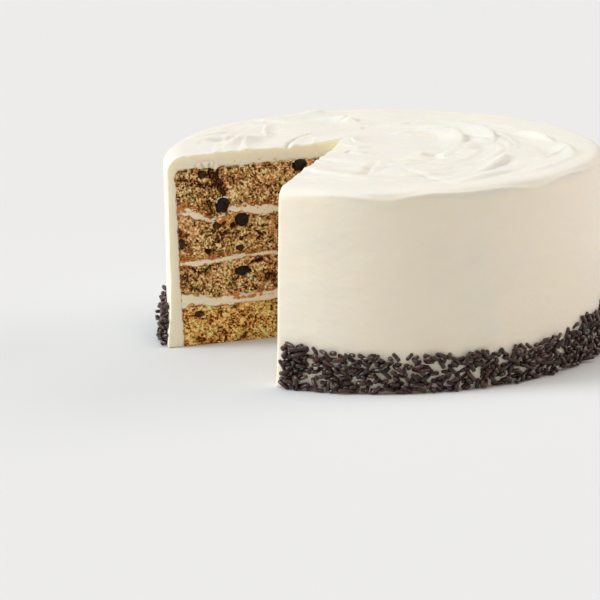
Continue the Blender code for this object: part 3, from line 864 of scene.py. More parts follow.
def crumb_relief(points, side, along, up, seed):
    """Depth of the crumb, how hollow each place is from 0 to 1, and its grain's tone.

    Grains are domes that fall by 0.4 d d, and where one is missing there is a pit with steep sides.
    """
    warp = 0.4 * MM * fractal(points, 1.6 * MM, 3, 3.0) + 0.9 * MM * noise(points, 4.2 * MM, 1.0)
    rise = 0.4 * MM * fractal(points, 1.6 * MM, 3, 9.0) + 0.9 * MM * noise(points, 4.2 * MM, 6.0)
    grain, second, tone = cells(along + warp, (up + rise) * 1.1, GRAIN, seed)
    share = MISSING * (1 + 0.8 * noise(points, 13 * MM, 2.0))
    missing = smooth_step((share - tone) / 0.08) * smooth_step((second - grain) / 0.3)
    small, _, chance = cells(along * 0.85 + 2 * rise, up + 2 * warp, SMALL_PIT, seed + 17)
    large, _, luck = cells(along * 0.7 - 2.2 * rise, up + 2.2 * warp, LARGE_PIT, seed + 31)
    pits = pit(small, 0.08 + 0.3 * chance) * (0.3 + 0.8 * chance) * (chance > 0.5)
    holes = pit(large, 0.05 + 0.16 * luck) * 1.4 * luck * (luck > 0.55)
    deepest = np.maximum(pits, holes)
    rough = fractal(points, 4.5 * MM, 3, 4.0)
    depth = 0.4 * grain ** 2 + 0.5 * missing + 0.8 * deepest + 0.4 * rough
    opened = opened_crumb(points, side, along, up)
    creases = 1 - smooth_step((second - grain) / 0.25)
    # Hollow darkens the colour: partly the crumb's own darker pits, partly painted shade in every
    # recess
    hollow = 0.9 * deepest + 0.55 * missing + 0.2 * creases + 0.3 * smooth_step(0.4 + rough) - 0.15
    return (depth + OPEN_DEPTH * opened) * MM, np.maximum(np.clip(hollow, 0, 1), opened), tone ** 2


samples = np.random.default_rng(4).uniform(5 * MM, 95 * MM, (2000, 3))
relief, hollow, _ = crumb_relief(samples, "left", samples[:, 0], samples[:, 2], 0)
print(f"crumb {relief.mean() / MM:.1f} mm deep on average, and {hollow.mean():.2f} hollow")

# %% [markdown]
# ## The sponges and fillings
# Each layer is a wedge-shaped slab: a fine cut face on either side and a coarse hidden body
# between. Like the coat's, the faces go on a little past their edges while diving into the cake.
# Where a sponge's face and a filling's cross, whichever lies further out shows, and that gives the
# boundary its crumbs and smears. Each layer's outer corners are rounded, or flared to meet that.

# %% A layer's outline
# Layer: the boundary below it and the one above, or None at the flat foot and the flat top
LAYERS = {
    "sponge_1": (None, 0), "filling_1": (0, 1), "sponge_2": (1, 2), "filling_2": (2, 3),
    "sponge_3": (3, 4), "filling_3": (4, 5), "sponge_4": (5, None),
}
PAST = 1.0 * MM         # how far a face goes on past its edges
HALF_WAY = 50 * MM


def stack_wall(heading):
    """Distance from the tip to the stack's wall, half way up."""
    return reach(heading, core_radius(HALF_WAY) - GAP, np.array(HALF_WAY))


def corner_drop(inset, corner):
    """Fall of a rounded corner at an inset from the wall: c (1 - sqrt(1 - (1 - i / c)^2))."""
    rest = np.clip(1 - inset / corner, 0, 1)
    return corner * (1 - np.sqrt(1 - rest ** 2))


def layer_edges(layer, heading, distance, side=None):
    """Heights of a layer's lower and upper edge at distances from the tip.

    At the wall a sponge's corners are rounded, and a filling's flare to meet them.
    """
    below, above = LAYERS[layer]
    sign = 1 if layer.startswith("sponge") else -1
    x, y = np.moveaxis(SLICE_TIP + distance[..., None] * unit(heading), -1, 0)

    def boundary(index):
        return boundary_height(index, x, y) if side is None else cut_boundary(index, side, distance)

    low_corner = FOOT_CORNER if below is None else LAYER_CORNER
    high_corner = CORE_CORNER if above is None else LAYER_CORNER
    low = 0 * distance if below is None else boundary(below) + GAP / 2
    high = 0 * distance + CORE_TOP - GAP if above is None else boundary(above) - GAP / 2
    inset = stack_wall(heading) - distance
    return low + sign * corner_drop(inset, low_corner), high - sign * corner_drop(inset, high_corner)


def layer_spots(layer, heading, across, up, past, side=None):
    """Points of a layer at one heading, for shares of the way out and shares of the way up.

    It also gives their distances from the tip, and how far inside the layer's edges they lie.
    """
    low, high = layer_edges(layer, heading, across * stack_wall(heading), side)
    foot = 0.0 if LAYERS[layer][0] is None else past
    height = low - foot + up * (high - low + foot + past)
    outside = reach(heading, core_radius(height) - GAP, height)
    distance = across * (outside + past)
    below = height - low + (0.6 * MM if LAYERS[layer][0] is None else 0)
    edge = np.minimum(np.minimum(below, high - height), outside - distance)
    return spot(heading + 0 * distance, distance, height), distance, edge


for layer in LAYERS:
    low, high = layer_edges(layer, np.array(LEFT_CUT), np.linspace(20, 80, 9) * MM, "left")
    print(f"{layer}: {(high - low).mean() / MM:.1f} mm thick on the left cut")

# %% A layer's cut faces
CRUSTED = ("sponge_3", "sponge_4")      # these lie with their browned side down
NO_CRUST = 9 * MM       # a height above any browned side
STAINED = 0.7           # the most that crumb and carrot colour a filling beside its edges
# Stains that show on the left cut: distance from the tip, height, half length and half height, in mm
STAINS = [
    (52, 76.0, 8, 1.3), (82, 75.2, 9, 1.0), (95, 76.7, 2.5, 2.0), (52, 24.6, 14, 1.3),
    (62, 26.6, 5, 1.5), (80, 48.2, 11, 0.8), (57, 48.7, 8, 0.6), (88, 22.6, 3, 0.9),
]


def filling_face(side, points, distance, edge):
    """Cream with its drags, stained beside its edges and, on the left cut, where STAINS says."""
    blotch = fractal(points, 4 * MM, 3, 8.0)
    stain = STAINED * smooth_step(0.6 - edge / (1.6 * MM) + 0.9 * blotch)
    for place, height, long, tall in STAINS if side == "left" else ():
        near = np.hypot((distance / MM - place) / long, (points[..., 2] / MM - height) / tall)
        stain = np.maximum(stain, STAINED * smooth_step(1.5 - near + 0.8 * blotch))
    return push_in(points, side, cream_depth(points, edge)), {"stain": stain}


def sponge_face(layer, side, points, distance, edge):
    """Crumb with its relief, its edges diving behind the cream, and its browned crust."""
    ragged = 1.15 * MM * fractal(points, 2.4 * MM, 3, 2.0)
    seed = 5 * int(layer[-1]) + (2 if side == "left" else 0)
    relief, hollow, tone = crumb_relief(points, side, distance, points[..., 2], seed)
    inside = smooth_step(edge / (1.2 * MM) + 0.3)
    dive = 1.5 * MM * smooth_step((0.5 * MM + ragged - edge) / (1.3 * MM))
    below = points[..., 2] - layer_edges(layer, np.array(CUTS[side][0]), distance, side)[0]
    baked = np.minimum(below if layer in CRUSTED else NO_CRUST, edge + 2.0 * MM)
    uneven = 2.2 * MM * noise(points, 11 * MM, 4.0)
    crust = np.exp(-(np.maximum(baked + 1.2 * ragged + uneven, 0) / (1.6 * MM)) ** 2)
    points = push_in(points, side, relief * inside + dive)
    return points, {"hollow": hollow * inside, "tone": tone, "crust": crust}


def layer_face(layer, side, across, up):
    """A fine cut face with its relief, and the numbers that its colour needs."""
    face = layer_spots(layer, np.array(CUTS[side][0]), across, up, PAST, side)
    return filling_face(side, *face) if layer.startswith("filling") else sponge_face(layer, side, *face)


# %% One layer's mesh
FACE_STEP = 0.33 * MM
FACE_LENGTH = 100 * MM
BODY_COLUMNS = 28


def body_loop(layer, heading, across, up):
    """Points round a layer at one heading: out along its lower edge, up its wall and back."""
    lower = layer_spots(layer, heading, across, 0 * across, 0.0)[0]
    wall = layer_spots(layer, heading, 0 * up + 1, up, 0.0)[0]
    upper = layer_spots(layer, heading, across, 0 * across + 1, 0.0)[0]
    return np.concatenate([lower, wall[1:-1], upper[::-1]])


def border(numbers):
    """Point numbers round a face, in the same order as a body loop."""
    return np.concatenate([numbers[:, 0], numbers[-1, 1:-1], numbers[::-1, -1]])


def build_layer(layer, material, slot):
    """Two fine cut faces that share the tip's edge, and a coarse body behind them."""
    low, high = layer_edges(layer, np.array(LEFT_CUT), np.linspace(0.02, 0.08, 9))
    wide = SEAM * round(FACE_LENGTH / FACE_STEP / SEAM)
    tall = SEAM * max(4, round((high.mean() - low.mean() + 2 * PAST) / FACE_STEP / SEAM))
    across, up = np.meshgrid(np.linspace(0, 1, wide + 1), np.linspace(0, 1, tall + 1), indexing="ij")
    surface = Surface("hollow", "tone", "crust", "stain")
    faces = []
    for side in CUTS:
        points, values = layer_face(layer, side, across, up)
        faces.append(surface.place(points, **values))
    faces[1][0] = faces[0][0]
    for face in faces:
        surface.grid(face)
    turns = np.linspace(RIGHT_CUT, LEFT_CUT + 2 * math.pi, BODY_COLUMNS + 1)[1:-1]
    loops = [body_loop(layer, np.array(turn), across[::SEAM, 0], up[0, ::SEAM]) for turn in turns]
    body = surface.place(np.array(loops))
    body[:, 0] = faces[0][0, 0]
    body[:, -1] = faces[0][0, -1]
    surface.grid(body)
    surface.seam(border(faces[1]), body[0])
    surface.seam(border(faces[0]), body[-1])
    surface.piece(layer.replace("_", "_layer_"), material, slot, layer)


# %% [markdown]
# ## The crumb's colour
# Real crumb is several browns at once: pale gold on the grains' heads, olive tan between, dark
# brown in the pits, and a thin browned crust where the sponge touched its tin. The pits' brown is
# partly the crumb's own and partly painted shade. The stored depth and tone choose between them,
# and orange-red flecks of carrot lie among the grains.

# %% Crumb finishes
REDDER = (1.07, 0.95, 0.97, 1.0)
MORE_OLIVE = (0.94, 1.03, 0.98, 1.0)


def crumb_finish(name, crust_share, browns):
    """A row of browns from the pits to the grains' heads, and a spotty browned crust.

    Place in the row: 0.45 tone + 1.1 fine + 0.9 patches - 0.55 hollow, moved to between 0 and 1.
    A drift of its own makes some clumps redder and others more olive.
    """
    finish = Finish(name, Specular_IOR_Level=0.2)
    patches = finish.speckle(6 * MM, finish.place(), 2.0)
    fine = finish.speckle(0.9 * MM, finish.place(), 2.0)
    # The hollow field darkens: partly the crumb's own darker pits, partly painted shade in its recesses
    parts = [(finish.field("tone"), 0.45), (fine, 1.1), (patches, 0.9), (finish.field("hollow"), -0.55)]
    place = 0.0
    for value, weight in parts:
        place = finish.maths("ADD", place, finish.maths("MULTIPLY", value, weight))
    colour = finish.ramp(finish.spread(place, 0.66, 1.4), *browns)
    drift = finish.speckle(7 * MM, finish.place((1.2, 1.2, 1)), 1.0)
    cast = finish.blend(finish.spread(drift, 0.36, 0.64), REDDER, MORE_OLIVE)
    colour = finish.blend(1.0, colour, cast, "MULTIPLY")
    flecks = finish.speckle(1.9 * MM, finish.place((1.0, 1.0, 1.7)), 1.0)
    colour = finish.blend(finish.spread(flecks, 0.69, 0.75, 0, 0.6), colour, tint(206, 128, 52))
    browned = finish.blend(finish.spread(fine, 0.42, 0.6), tint(112, 56, 20), tint(222, 140, 60))
    crust = finish.spread(finish.field("crust"), 0.2, 0.8, 0, crust_share)
    finish.colour(finish.blend(crust, colour, browned))
    finish.bump(fine, 0.3 * MM)
    finish.roughness(fine, 0.62, 0.92)
    return finish.material


golden_crumb = crumb_finish("golden crumb", 0.55, [
    tint(86, 44, 4), tint(152, 104, 38), tint(210, 158, 78), tint(240, 202, 120), tint(255, 244, 180),
])
brown_crumb = crumb_finish("brown crumb", 0.75, [
    tint(64, 32, 4), tint(124, 88, 42), tint(176, 136, 82), tint(222, 184, 124), tint(255, 238, 184),
])
print("finishes:", ", ".join(material.name for material in (golden_crumb, brown_crumb)))

# %% All seven layers
for number in (1, 2, 3, 4):
    build_layer(f"sponge_{number}", golden_crumb if number == 1 else brown_crumb, "crumb")
for number in (1, 2, 3):
    build_layer(f"filling_{number}", filling_cream, "filling")

# %% [markdown]
# ## Raisins
# A raisin is a dried grape: an ellipsoid whose skin has shrunk into folds. Each is a small closed
# grid of latitudes and longitudes, creased by ridged noise, sunk into its hollow in the crumb with
# a little of it standing proud. The knife also sliced some, which is why they look flat and dark.
# The small ones are mostly buried: moist crumb sticks to them, so they are browner.

# %% Balls
def unit_ball(rows, columns):
    """A ball (cos u cos v, cos u sin v, sin u) over even latitudes u and longitudes v."""
    lift, turn = np.meshgrid(np.linspace(-math.pi / 2, math.pi / 2, rows),
                             np.linspace(0, 2 * math.pi, columns), indexing="ij")
    return np.stack([np.cos(lift) * np.cos(turn), np.cos(lift) * np.sin(turn), np.sin(lift)], axis=-1)


def close_balls(surface, numbers):
    """Faces of balls laid out as ball, latitude and longitude: their seams and poles share points."""
    numbers[:, :, -1] = numbers[:, :, 0]
    numbers[:, 0] = numbers[:, 0, :1]
    numbers[:, -1] = numbers[:, -1, :1]
    for ball in numbers:
        surface.grid(ball)


# %% Raisins
RAISIN_ROWS, RAISIN_COLUMNS = 20, 32
RAISIN_SUNK = 0.45      # share of its thickness that its middle lies behind the cut
BURIED = (1.7, 2.2)     # lesser half sizes, in mm, of a wholly buried raisin and of a bare one


def raisin_points(side, place, height, wide, tall, seed):
    """An ellipsoid whose radius is 0.96 + 0.12 sqrt(folds) + 0.12 noise."""
    ball = unit_ball(RAISIN_ROWS, RAISIN_COLUMNS)
    folds = np.abs(fractal(ball, 0.8, 2, 5.0 * seed))
    ball = ball * (0.96 + 0.12 * np.sqrt(folds) + 0.12 * noise(ball, 1.1, 3.0 * seed))[..., None]
    thick = 0.7 * min(wide, tall)
    along, inward = (axis[:2] for axis in cut_axes(side))
    middle = tip_at(np.array(height * MM)) + place * MM * along
    middle = middle + RAISIN_SUNK * thick * MM * inward
    level = wide * MM * ball[..., :1] * along - thick * MM * ball[..., 1:2] * inward
    return np.concatenate([middle + level, height * MM + tall * MM * ball[..., 2:]], axis=-1)


def raisin_finish():
    """Nearly black skin, browner on its ridges and where it is buried in the crumb, slightly moist."""
    finish = Finish("raisin skin", Specular_IOR_Level=0.25)
    folds = finish.speckle(1.4 * MM, finish.place(), 3.0)
    ridges = finish.spread(folds, 0.45, 0.75)
    bare = finish.blend(ridges, tint(20, 8, 6), tint(54, 26, 18))
    stuck = finish.blend(ridges, tint(42, 20, 10), tint(112, 70, 36))
    finish.colour(finish.blend(finish.field("buried"), bare, stuck))
    finish.bump(folds, 0.5 * MM)
    finish.roughness(folds, 0.42, 0.65)
    return finish.material


def build_raisins():
    """All the raisins as one piece."""
    surface = Surface("buried")
    for seed, raisin in enumerate(RAISINS):
        buried = np.interp(min(raisin[3:]), BURIED, (1.0, 0.0))
        close_balls(surface, surface.place(raisin_points(*raisin, seed)[None], buried=buried))
    surface.piece("raisins", raisin_finish(), "raisin")


build_raisins()

# %% [markdown]
# ## Shreds of carrot
# Grated carrot bakes into limp orange shreds. The knife cuts them flush with the crumb, so only
# short slanting ends show. Each is a bent strip of six sides, mostly buried, placed by chance but
# kept inside the sponges.

# %% Tubes
def tube(middles, side_axis, up_axis, wide, tall, sides):
    """Rings round a line of middles: m + wide cos t a + tall sin t b, for all the tubes at once."""
    turn = np.arange(sides) * 2 * math.pi / sides
    around = (wide[..., None, None] * np.cos(turn)[:, None] * side_axis[..., None, :]
              + tall[..., None, None] * np.sin(turn)[:, None] * up_axis[..., None, :])
    return middles[..., None, :] + around


def close_tubes(surface, numbers):
    """Faces of many tubes: bands between rings, and a fan over both ends."""
    wrapped = np.concatenate([numbers, numbers[..., :1]], axis=-1)
    a, b = wrapped[:, :-1, :-1], wrapped[:, 1:, :-1]
    c, d = wrapped[:, 1:, 1:], wrapped[:, :-1, 1:]
    surface.triangles.append(np.stack([a, b, c, a, c, d], axis=-1).reshape(-1, 3))
    for ring, turned in ((wrapped[:, 0], -1), (wrapped[:, -1], 1)):
        first = np.broadcast_to(ring[:, :1], ring[:, 1:-2].shape)
        fan = np.stack([first, ring[:, 1:-2], ring[:, 2:-1]][::turned], axis=-1)
        surface.triangles.append(fan.reshape(-1, 3))


# %% Places of the shreds
SHRED_COUNT = 110
# Shreds that show on the left cut: distance from the tip and height, in mm
KNOWN_SHREDS = [
    (71.4, 67.8), (69.2, 68.9), (67.2, 66.2), (65.6, 69.6), (68.0, 70.6), (73.4, 67.0), (49.7, 74.0),
    (53.6, 75.6), (86.9, 76.8), (90.6, 77.8), (60.9, 33.3), (67.3, 53.4), (57.0, 75.4), (83.0, 74.2),
]
KNOWN_WIDER = 1.6       # these are wider than the others
CLEAR_OF_RAISINS = 1.5  # in mm
print(len(KNOWN_SHREDS), "of", SHRED_COUNT, "shreds have a known place")


def shred_places(draw):
    """Places on the cut faces inside the sponges: cut, distance from the tip, height."""
    found = [("left", distance * MM, height * MM) for distance, height in KNOWN_SHREDS]
    names = [name for name in LAYERS if name.startswith("sponge")]
    while len(found) < SHRED_COUNT:
        layer, side = names[draw.integers(4)], ("left", "right")[draw.integers(2)]
        heading = np.array(CUTS[side][0])
        distance = draw.uniform(6 * MM, reach(heading, CORE_FOOT_RADIUS - 3 * MM, np.array(0.0)))
        low, high = layer_edges(layer, heading, np.array([distance]), side)
        height = draw.uniform(low[0] + 1.5 * MM, high[0] - 1.5 * MM)
        gaps = [math.hypot(distance / MM - s, height / MM - z) - max(wide, tall)
                for cut, s, z, wide, tall in RAISINS if cut == side]
        if min(gaps) > CLEAR_OF_RAISINS:
            found.append((side, distance, height))
    return found


# %% The shreds
SHRED_STEPS = 6


def build_shreds():
    """Strips of six sides along a parabola, mostly behind the cut, thinner towards both ends."""
    draw = np.random.default_rng(41)
    places = shred_places(draw)
    cut, inward = np.array([cut_axes(side) for side, _, _ in places]).transpose(1, 0, 2)
    middle = np.array([[*tip_at(np.array(z)), z] + s * cut_axes(side)[0] for side, s, z in places])
    slant = draw.uniform(-1.2, 1.2, (SHRED_COUNT, 1))
    length = draw.uniform(1.4, 4.2, (SHRED_COUNT, 1, 1)) * MM
    lying = cut * np.cos(slant) + np.array([0, 0, 1]) * np.sin(slant)
    across = np.cross(lying, inward)
    share = np.linspace(-1, 1, SHRED_STEPS)[None, :, None]
    bend = draw.uniform(-0.25, 0.25, (SHRED_COUNT, 1, 1)) * (share ** 2 - 1)
    line = middle[:, None] + 0.5 * length * (share * lying[:, None] + bend * across[:, None])
    line = line + (0.5 + 0.5 * share ** 2) * MM * inward[:, None]
    wide = draw.uniform(0.35, 0.75, (SHRED_COUNT, 1)) * MM * np.sqrt(1.12 - share[..., 0] ** 2)
    wide[:len(KNOWN_SHREDS)] *= KNOWN_WIDER
    axes = (np.broadcast_to(axis[:, None], line.shape) for axis in (across, inward))
    surface = Surface()
    close_tubes(surface, surface.place(tube(line, *axes, wide, 0.9 * wide, 6)))
    finish = Finish("baked carrot", Roughness=0.5, Specular_IOR_Level=0.4)
    fibre = finish.speckle(1.2 * MM, finish.place((1, 1, 2)), 2.0)
    finish.colour(finish.blend(finish.spread(fibre, 0.35, 0.7), tint(196, 104, 34), tint(232, 150, 62)))
    finish.bump(fibre, 0.2 * MM)
    surface.piece("carrot_shreds", finish.material, "carrot")


build_shreds()

# %% [markdown]
# ## Smears, lobes and loose crumbs
# A knife drags cream over the crumb, and crumbs over the cream. Both are flat lumps on the cut
# faces: squashed balls of 64 faces, dented by noise. Some have a known place, where thick lobes of
# the frosting hang into the open crumb, and where a pale rim of torn crumb lies round a raisin.
# The others and all the crumbs are scattered along the layers' boundaries.

# %% Known places
# Distance from the tip along the left cut, height, half width and half height, in mm
LOBES = [
    (83.2, 100.0, 3.0, 1.9), (80.2, 100.3, 3.4, 1.9), (77.4, 100.2, 2.4, 1.6), (74.6, 99.4, 1.7, 2.6),
]
SMEARS = [
    (37.5, 96.9, 1.4, 1.5), (65.9, 75.4, 0.6, 1.6), (73.4, 79.4, 0.5, 1.3), (72.5, 80.8, 1.1, 0.6),
    (70.9, 81.4, 1.5, 0.45), (69.0, 81.5, 1.5, 0.45), (67.2, 81.0, 1.3, 0.5), (54.8, 36.6, 0.7, 1.2),
    (53.4, 34.4, 0.9, 0.7), (50.6, 33.6, 0.8, 0.9), (59.6, 31.8, 1.3, 0.8), (47.8, 31.6, 1.4, 0.8),
]
print(len(LOBES), "lobes and", len(SMEARS), "smears have a known place")

# %% Shape of a lump
LUMP_ROWS, LUMP_COLUMNS = 6, 9


def lumps(side, distance, height, wide, tall, thick, proud, seed):
    """Squashed balls on a cut face: an ellipsoid's points, each radius times 1 + 0.3 of a noise."""
    ball = unit_ball(LUMP_ROWS, LUMP_COLUMNS)[None]
    apart = np.arange(len(distance))[:, None, None, None] * np.array([1.7, 3.1, 2.3]) + seed
    ball = ball * (1 + 0.3 * noise(ball + apart, 0.9))[..., None]
    along, inward = cut_axes(side)
    level = distance[:, None, None] + wide[:, None, None] * ball[..., 0]
    depth = thick[:, None, None] * (1 + ball[..., 1]) - proud
    rise = height[:, None, None] + tall[:, None, None] * ball[..., 2]
    tip = np.concatenate([tip_at(rise), rise[..., None]], axis=-1)
    return tip + level[..., None] * along + depth[..., None] * inward


def along_boundaries(draw, count, side, spread_up):
    """Places by chance beside the layers' boundaries and the frosting's edge, on one cut."""
    distance = draw.uniform(8 * MM, 88 * MM, count)
    index = draw.integers(0, len(BOUNDARIES) + 1, count)
    edges = [cut_boundary(k, side, distance) for k in range(len(BOUNDARIES))]
    height = np.choose(index, [*edges, np.full(count, CORE_TOP)]) + draw.normal(0, spread_up, count)
    return distance, height


# %% Smears, lobes and crumbs
THIN = (0.45 * MM, 0.12 * MM)       # half thickness, and how far a lump stands proud of the cut
THICK = (1.3 * MM, 1.0 * MM)


def build_lumps(name, material, slot, seed, body=THIN, known=(), scattered=None):
    """One piece of lumps: the scattered ones of both cuts, and the known ones of the left cut.

    Scattered is a count for each cut, least and greatest half width, flatness, and spread in height.
    """
    draw = np.random.default_rng(seed)
    surface = Surface("tone")
    thickest, proud = body
    for side in CUTS if scattered else ():
        count, sizes, flatness, spread_up = scattered
        distance, height = along_boundaries(draw, count, side, spread_up)
        wide = draw.uniform(*sizes, count)
        tall = wide * draw.uniform(*flatness, count)
        thick = np.minimum(0.5 * wide, thickest)
        points = lumps(side, distance, height, wide, tall, thick, proud, seed)
        tones = draw.uniform(0.4, 1, count)
        close_balls(surface, surface.place(points, tone=tones[:, None, None]))
    if known:
        distance, height, wide, tall = np.array(known).T * MM
        thick = np.full(len(known), thickest)
        points = lumps("left", distance, height, wide, tall, thick, proud, seed + 5)
        close_balls(surface, surface.place(points))
    surface.piece(name, material, slot)


build_lumps("cream_smears", filling_cream, "filling", 61, known=SMEARS,
            scattered=(90, (0.4 * MM, 1.3 * MM), (0.3, 0.8), 0.9 * MM))
build_lumps("frosting_lobes", filling_cream, "frosting", 71, body=THICK, known=LOBES)
build_lumps("loose_crumbs", brown_crumb, "crumb", 67,
            scattered=(220, (0.25 * MM, 0.75 * MM), (0.6, 1.1), 1.0 * MM))

# %% [markdown]
# ## Sprinkles
# Chocolate sprinkles are short rods, cut from an extruded string, 3 to 9 mm long and a little over
# 2 mm thick, with rounded ends. They were pressed against the foot by the handful, so they lie
# over each other in a band two or three deep. Each rod is dropped towards the wall, like a coin
# towards a table, and tries a few distances from it until it touches none of the earlier rods. If
# it always does, it is left out. A simulation would do the same more slowly. All rods are worked
# out at once, as rings along their lines, and each has only some sixty faces.

# %% Rods thrown at the foot
ROD_COUNT = 4400
START_PILE = 280        # how many of them are thrown at the band's first end, where they lie in a pile
PILE_SWEEP = math.radians(6.5)
ROD_THICK = 2.35 * MM
ROD_LONG = (3.4 * MM, 9.2 * MM)
ROD_TILT = 0.45         # how far they lean off the wall, in radians, and the most that they lean
MOST_TILT = 1.2
BAND_START = math.radians(244.3)
BAND_END = math.radians(360 + 193.2)


def band_top(heading):
    """Ragged upper edge of the band: its mean height, with lumps of 3.2 mm that are 14 mm long."""
    ring = np.stack([np.cos(heading), np.sin(heading), 0 * heading], axis=-1) * CAKE_RADIUS
    return band_height(heading) + 3.2 * MM * fractal(ring, 14 * MM, 3, 8.0)


def throw_rods():
    """Heading, height, slant along the wall, tilt off it and half length of every rod, by chance."""
    draw = np.random.default_rng(17)
    heading = draw.uniform(BAND_START, BAND_END, ROD_COUNT)
    heading[:START_PILE] = BAND_START + draw.uniform(0, PILE_SWEEP, START_PILE)
    share = draw.uniform(0, 1, ROD_COUNT) ** 1.2
    slant = draw.uniform(-math.pi / 2, math.pi / 2, ROD_COUNT) * draw.uniform(0.25, 1, ROD_COUNT)
    tilt = np.clip(draw.normal(0, ROD_TILT, ROD_COUNT), -MOST_TILT, MOST_TILT)
    shortest, longest = ROD_LONG
    half = (shortest + (longest - shortest) * draw.beta(1.8, 3.2, ROD_COUNT) - ROD_THICK) / 2
    height = np.maximum(share * band_top(heading), ROD_THICK / 2 + np.abs(np.sin(slant)) * half)
    return zip(heading, height, slant, tilt, half)


# %% Where each rod comes to rest
DROP_STEPS = np.arange(0, 2.7, 0.3) * MM
ROD_BALLS = np.linspace(-1, 1, 5)       # a rod touches as five balls along it would
TOUCHING = 0.8                          # closest middles of two balls, in thicknesses
PRESSED = 0.1                           # how deep the nearest lie in the cream, in thicknesses
NEAR = ROD_LONG[1] + 4 * MM             # rods whose middles are further apart can't touch


def try_places(heading, height, slant, tilt, half):
    """A rod's direction, its middles at the drop's steps, and its balls there, or None off the foot.

    The wall's radius, less what is pressed in, plus 0.7 of what the tilt lifts, is the first step.
    """
    outward = np.array([math.cos(heading), math.sin(heading), 0])
    level = np.array([-outward[1], outward[0], 0])
    lying = math.cos(slant) * level + math.sin(slant) * np.array([0, 0, 1])
    lying = math.cos(tilt) * lying + math.sin(tilt) * outward
    wall = float(wall_radius(heading, height))
    offset = wall - PRESSED * ROD_THICK + abs(math.sin(tilt)) * half * 0.7 + DROP_STEPS
    middle = offset[:, None] * outward + np.array([0, 0, height])
    spots = middle[:, None] + ROD_BALLS[:, None] * half * lying
    inwards = np.stack([unit(np.array(inward)) for _, inward in CUTS.values()], axis=-1)
    inside = (spots[0, :, :2] - tip_at(height)) @ inwards
    past_cut = np.all(inside < 0.7 * ROD_THICK, axis=1).any()
    return None if past_cut or np.min(spots[..., 2]) < 0.45 * ROD_THICK else (lying, middle, spots)


def drop_rods():
    """Middle, direction and half length of every rod that found a place."""
    balls = np.zeros((0, len(ROD_BALLS), 3))
    kept = []
    for rod in throw_rods():
        places = try_places(*rod)
        if places is None:
            continue
        lying, middle, spots = places
        near = balls[np.linalg.norm(balls[:, 2] - spots[0, 2], axis=-1) < NEAR].reshape(-1, 3)
        gap = np.linalg.norm(spots[:, :, None] - near, axis=-1)
        free = np.all(gap > TOUCHING * ROD_THICK, axis=(1, 2))
        if free.any():
            first = int(np.argmax(free))
            balls = np.concatenate([balls, spots[first][None]])
            kept.append((*middle[first], *lying, rod[-1]))
    return np.array(kept)


rods = drop_rods()
print(len(rods), "of", ROD_COUNT, "sprinkles found a place")

# %% The rods' mesh and finish
# For each ring along a rod: its place a half lengths and b thicknesses from the middle, and its
# radius as a share of the rod's
ROD_RINGS = [
    (-1.0, -0.50, 0.55), (-1.0, -0.27, 0.98), (0.0, 0.0, 1.03), (1.0, 0.27, 0.98), (1.0, 0.50, 0.55),
]
ROD_SIDES = 7


def sprinkle_finish():
    """Dark chocolate of a tone of its own for each rod, with worn paler spots and a soft gloss."""
    finish = Finish("chocolate sprinkle", Specular_IOR_Level=0.25, Coat_Weight=0.6, Coat_Roughness=0.14)
    fine = finish.speckle(1.5 * MM, finish.place(), 2.0)
    dark = finish.blend(finish.field("tone"), tint(14, 5, 3), tint(68, 40, 32))
    finish.colour(finish.blend(finish.spread(fine, 0.45, 0.75, 0, 0.5), dark, tint(98, 68, 58)))
    finish.bump(fine, 0.12 * MM)
    finish.roughness(fine, 0.3, 0.48)
    return finish.material


def build_sprinkles(rods):
    """Rings along a slightly bent line, rounded at both ends, for all the rods at once."""
    draw = np.random.default_rng(29)
    middle, lying, half = rods[:, None, :3], rods[:, None, 3:6], rods[:, 6:]
    rings = np.array(ROD_RINGS)
    thick = ROD_THICK * draw.uniform(0.86, 1.12, (len(rods), 1))
    side = np.cross(lying, np.array([0, 0, 1.0]) + 0.3 * draw.uniform(-1, 1, (len(rods), 1, 3)))
    side = side / np.linalg.norm(side, axis=-1, keepdims=True)
    along = half * rings[:, 0] + thick * rings[:, 1]
    bend = draw.uniform(-0.10, 0.10, (len(rods), 1)) * (along ** 2 / half - half / 2)
    line = middle + along[..., None] * lying + bend[..., None] * side
    wide = 0.5 * thick * rings[:, 2]
    surface = Surface("tone")
    tone = draw.uniform(0, 1, (len(rods), 1, 1))
    axes = (np.broadcast_to(axis, line.shape) for axis in (side, np.cross(lying, side)))
    points = tube(line, *axes, wide, 0.93 * wide, ROD_SIDES)
    points[..., 2] = np.maximum(points[..., 2], 0.05 * MM)
    close_tubes(surface, surface.place(points, tone=tone))
    surface.piece("sprinkles", sprinkle_finish(), "sprinkles", "frosting")


build_sprinkles(rods)

# %% [markdown]
# ## The floor, the light and the camera
# The cake is seen in soft light on a plain pale floor that runs to the horizon. An even, slightly
# warm world light fills the shadows, and three soft suns stand in for the room: a window low on
# the left makes the relief of the cream readable, the ceiling brightens the top, and a weak fill
# from the right lifts the far side. The camera's pitch, turn and long lens were worked out from
# the cake's outline.

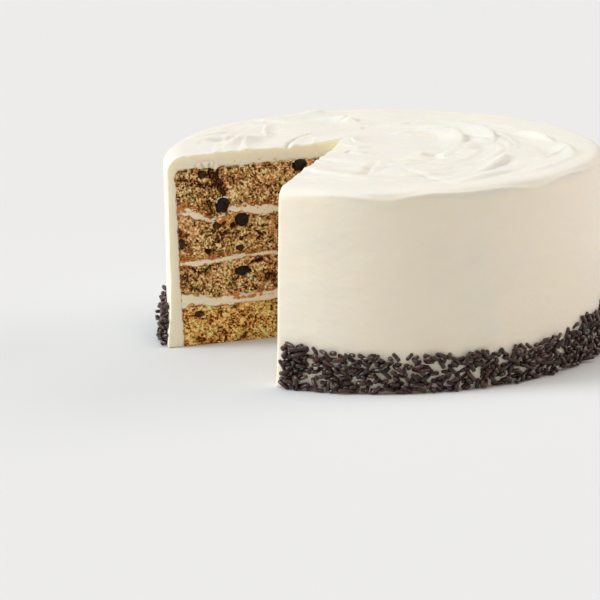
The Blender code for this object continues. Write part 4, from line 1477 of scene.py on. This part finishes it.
# %% Floor
FLOOR_SIZE = 30.0
FLOOR_DROP = 0.1 * MM   # just under the cake's foot, so that the two never fight
floor_mesh = bpy.data.meshes.new("floor")
corners = np.array([(-1, -1), (1, -1), (1, 1), (-1, 1)]) * FLOOR_SIZE / 2
floor_mesh.from_pydata([(x, y, -FLOOR_DROP) for x, y in corners.tolist()], [], [(0, 1, 2, 3)])
floor = bpy.data.objects.new("floor", floor_mesh)
bpy.context.scene.collection.objects.link(floor)
floor_finish = Finish("pale floor", Base_Color=(0.667, 0.692, 0.698, 1), Roughness=0.9,
                      Specular_IOR_Level=0.1)
floor_mesh.materials.append(floor_finish.material)
print(f"floor {FLOOR_SIZE:.0f} m across")

# %% Light
world = bpy.data.worlds.new("soft room")
world.use_nodes = True
world.node_tree.nodes["Background"].inputs["Color"].default_value = (1.0, 0.855, 0.745, 1)
world.node_tree.nodes["Background"].inputs["Strength"].default_value = 0.6
bpy.context.scene.world = world


def add_sun(name, toward, strength, softness, colour=(1, 1, 1)):
    """A sun that shines along a direction; softness is the angle that it covers, in degrees."""
    light = bpy.data.lights.new(name, "SUN")
    light.energy = strength
    light.angle = math.radians(softness)
    light.color = colour
    item = bpy.data.objects.new(name, light)
    item.rotation_euler = Vector(toward).to_track_quat("-Z", "Y").to_euler()
    bpy.context.scene.collection.objects.link(item)


add_sun("window", (0.86, 0.08, -0.52), 2.2, 22, (0.94, 0.94, 1.02))
add_sun("ceiling", (0.17, 0.0, -0.98), 0.9, 30, (0.74, 0.93, 1.0))
add_sun("right fill", (-0.85, -0.31, -0.42), 0.9, 40, (1.0, 0.83, 0.84))
print("lights:", len(bpy.data.lights), "and the world")

# %% Camera
CAMERA_PLACE = Vector((0, -1.8755, 0.47785))
YAW, PITCH, ROLL = math.radians(-1.391), math.radians(13.698), math.radians(-0.684)
camera_data = bpy.data.cameras.new("camera")
camera_data.lens = 210          # mm, on a sensor 36 mm wide
camera_data.sensor_width = 36
forward = Vector((math.sin(YAW) * math.cos(PITCH), math.cos(YAW) * math.cos(PITCH), -math.sin(PITCH)))
right = Vector((math.cos(YAW), -math.sin(YAW), 0))
up = right.cross(forward)
across = right * math.cos(ROLL) + up * math.sin(ROLL)
above = up * math.cos(ROLL) - right * math.sin(ROLL)
camera = bpy.data.objects.new("camera", camera_data)
turned = Matrix((across, above, -forward)).transposed().to_4x4()
camera.matrix_world = Matrix.Translation(CAMERA_PLACE) @ turned
bpy.context.scene.collection.objects.link(camera)
bpy.context.scene.camera = camera
bpy.context.scene.view_settings.view_transform = "Standard"
print(f"camera {CAMERA_PLACE.length:.2f} m away, with a lens of {camera_data.lens:.0f} mm")
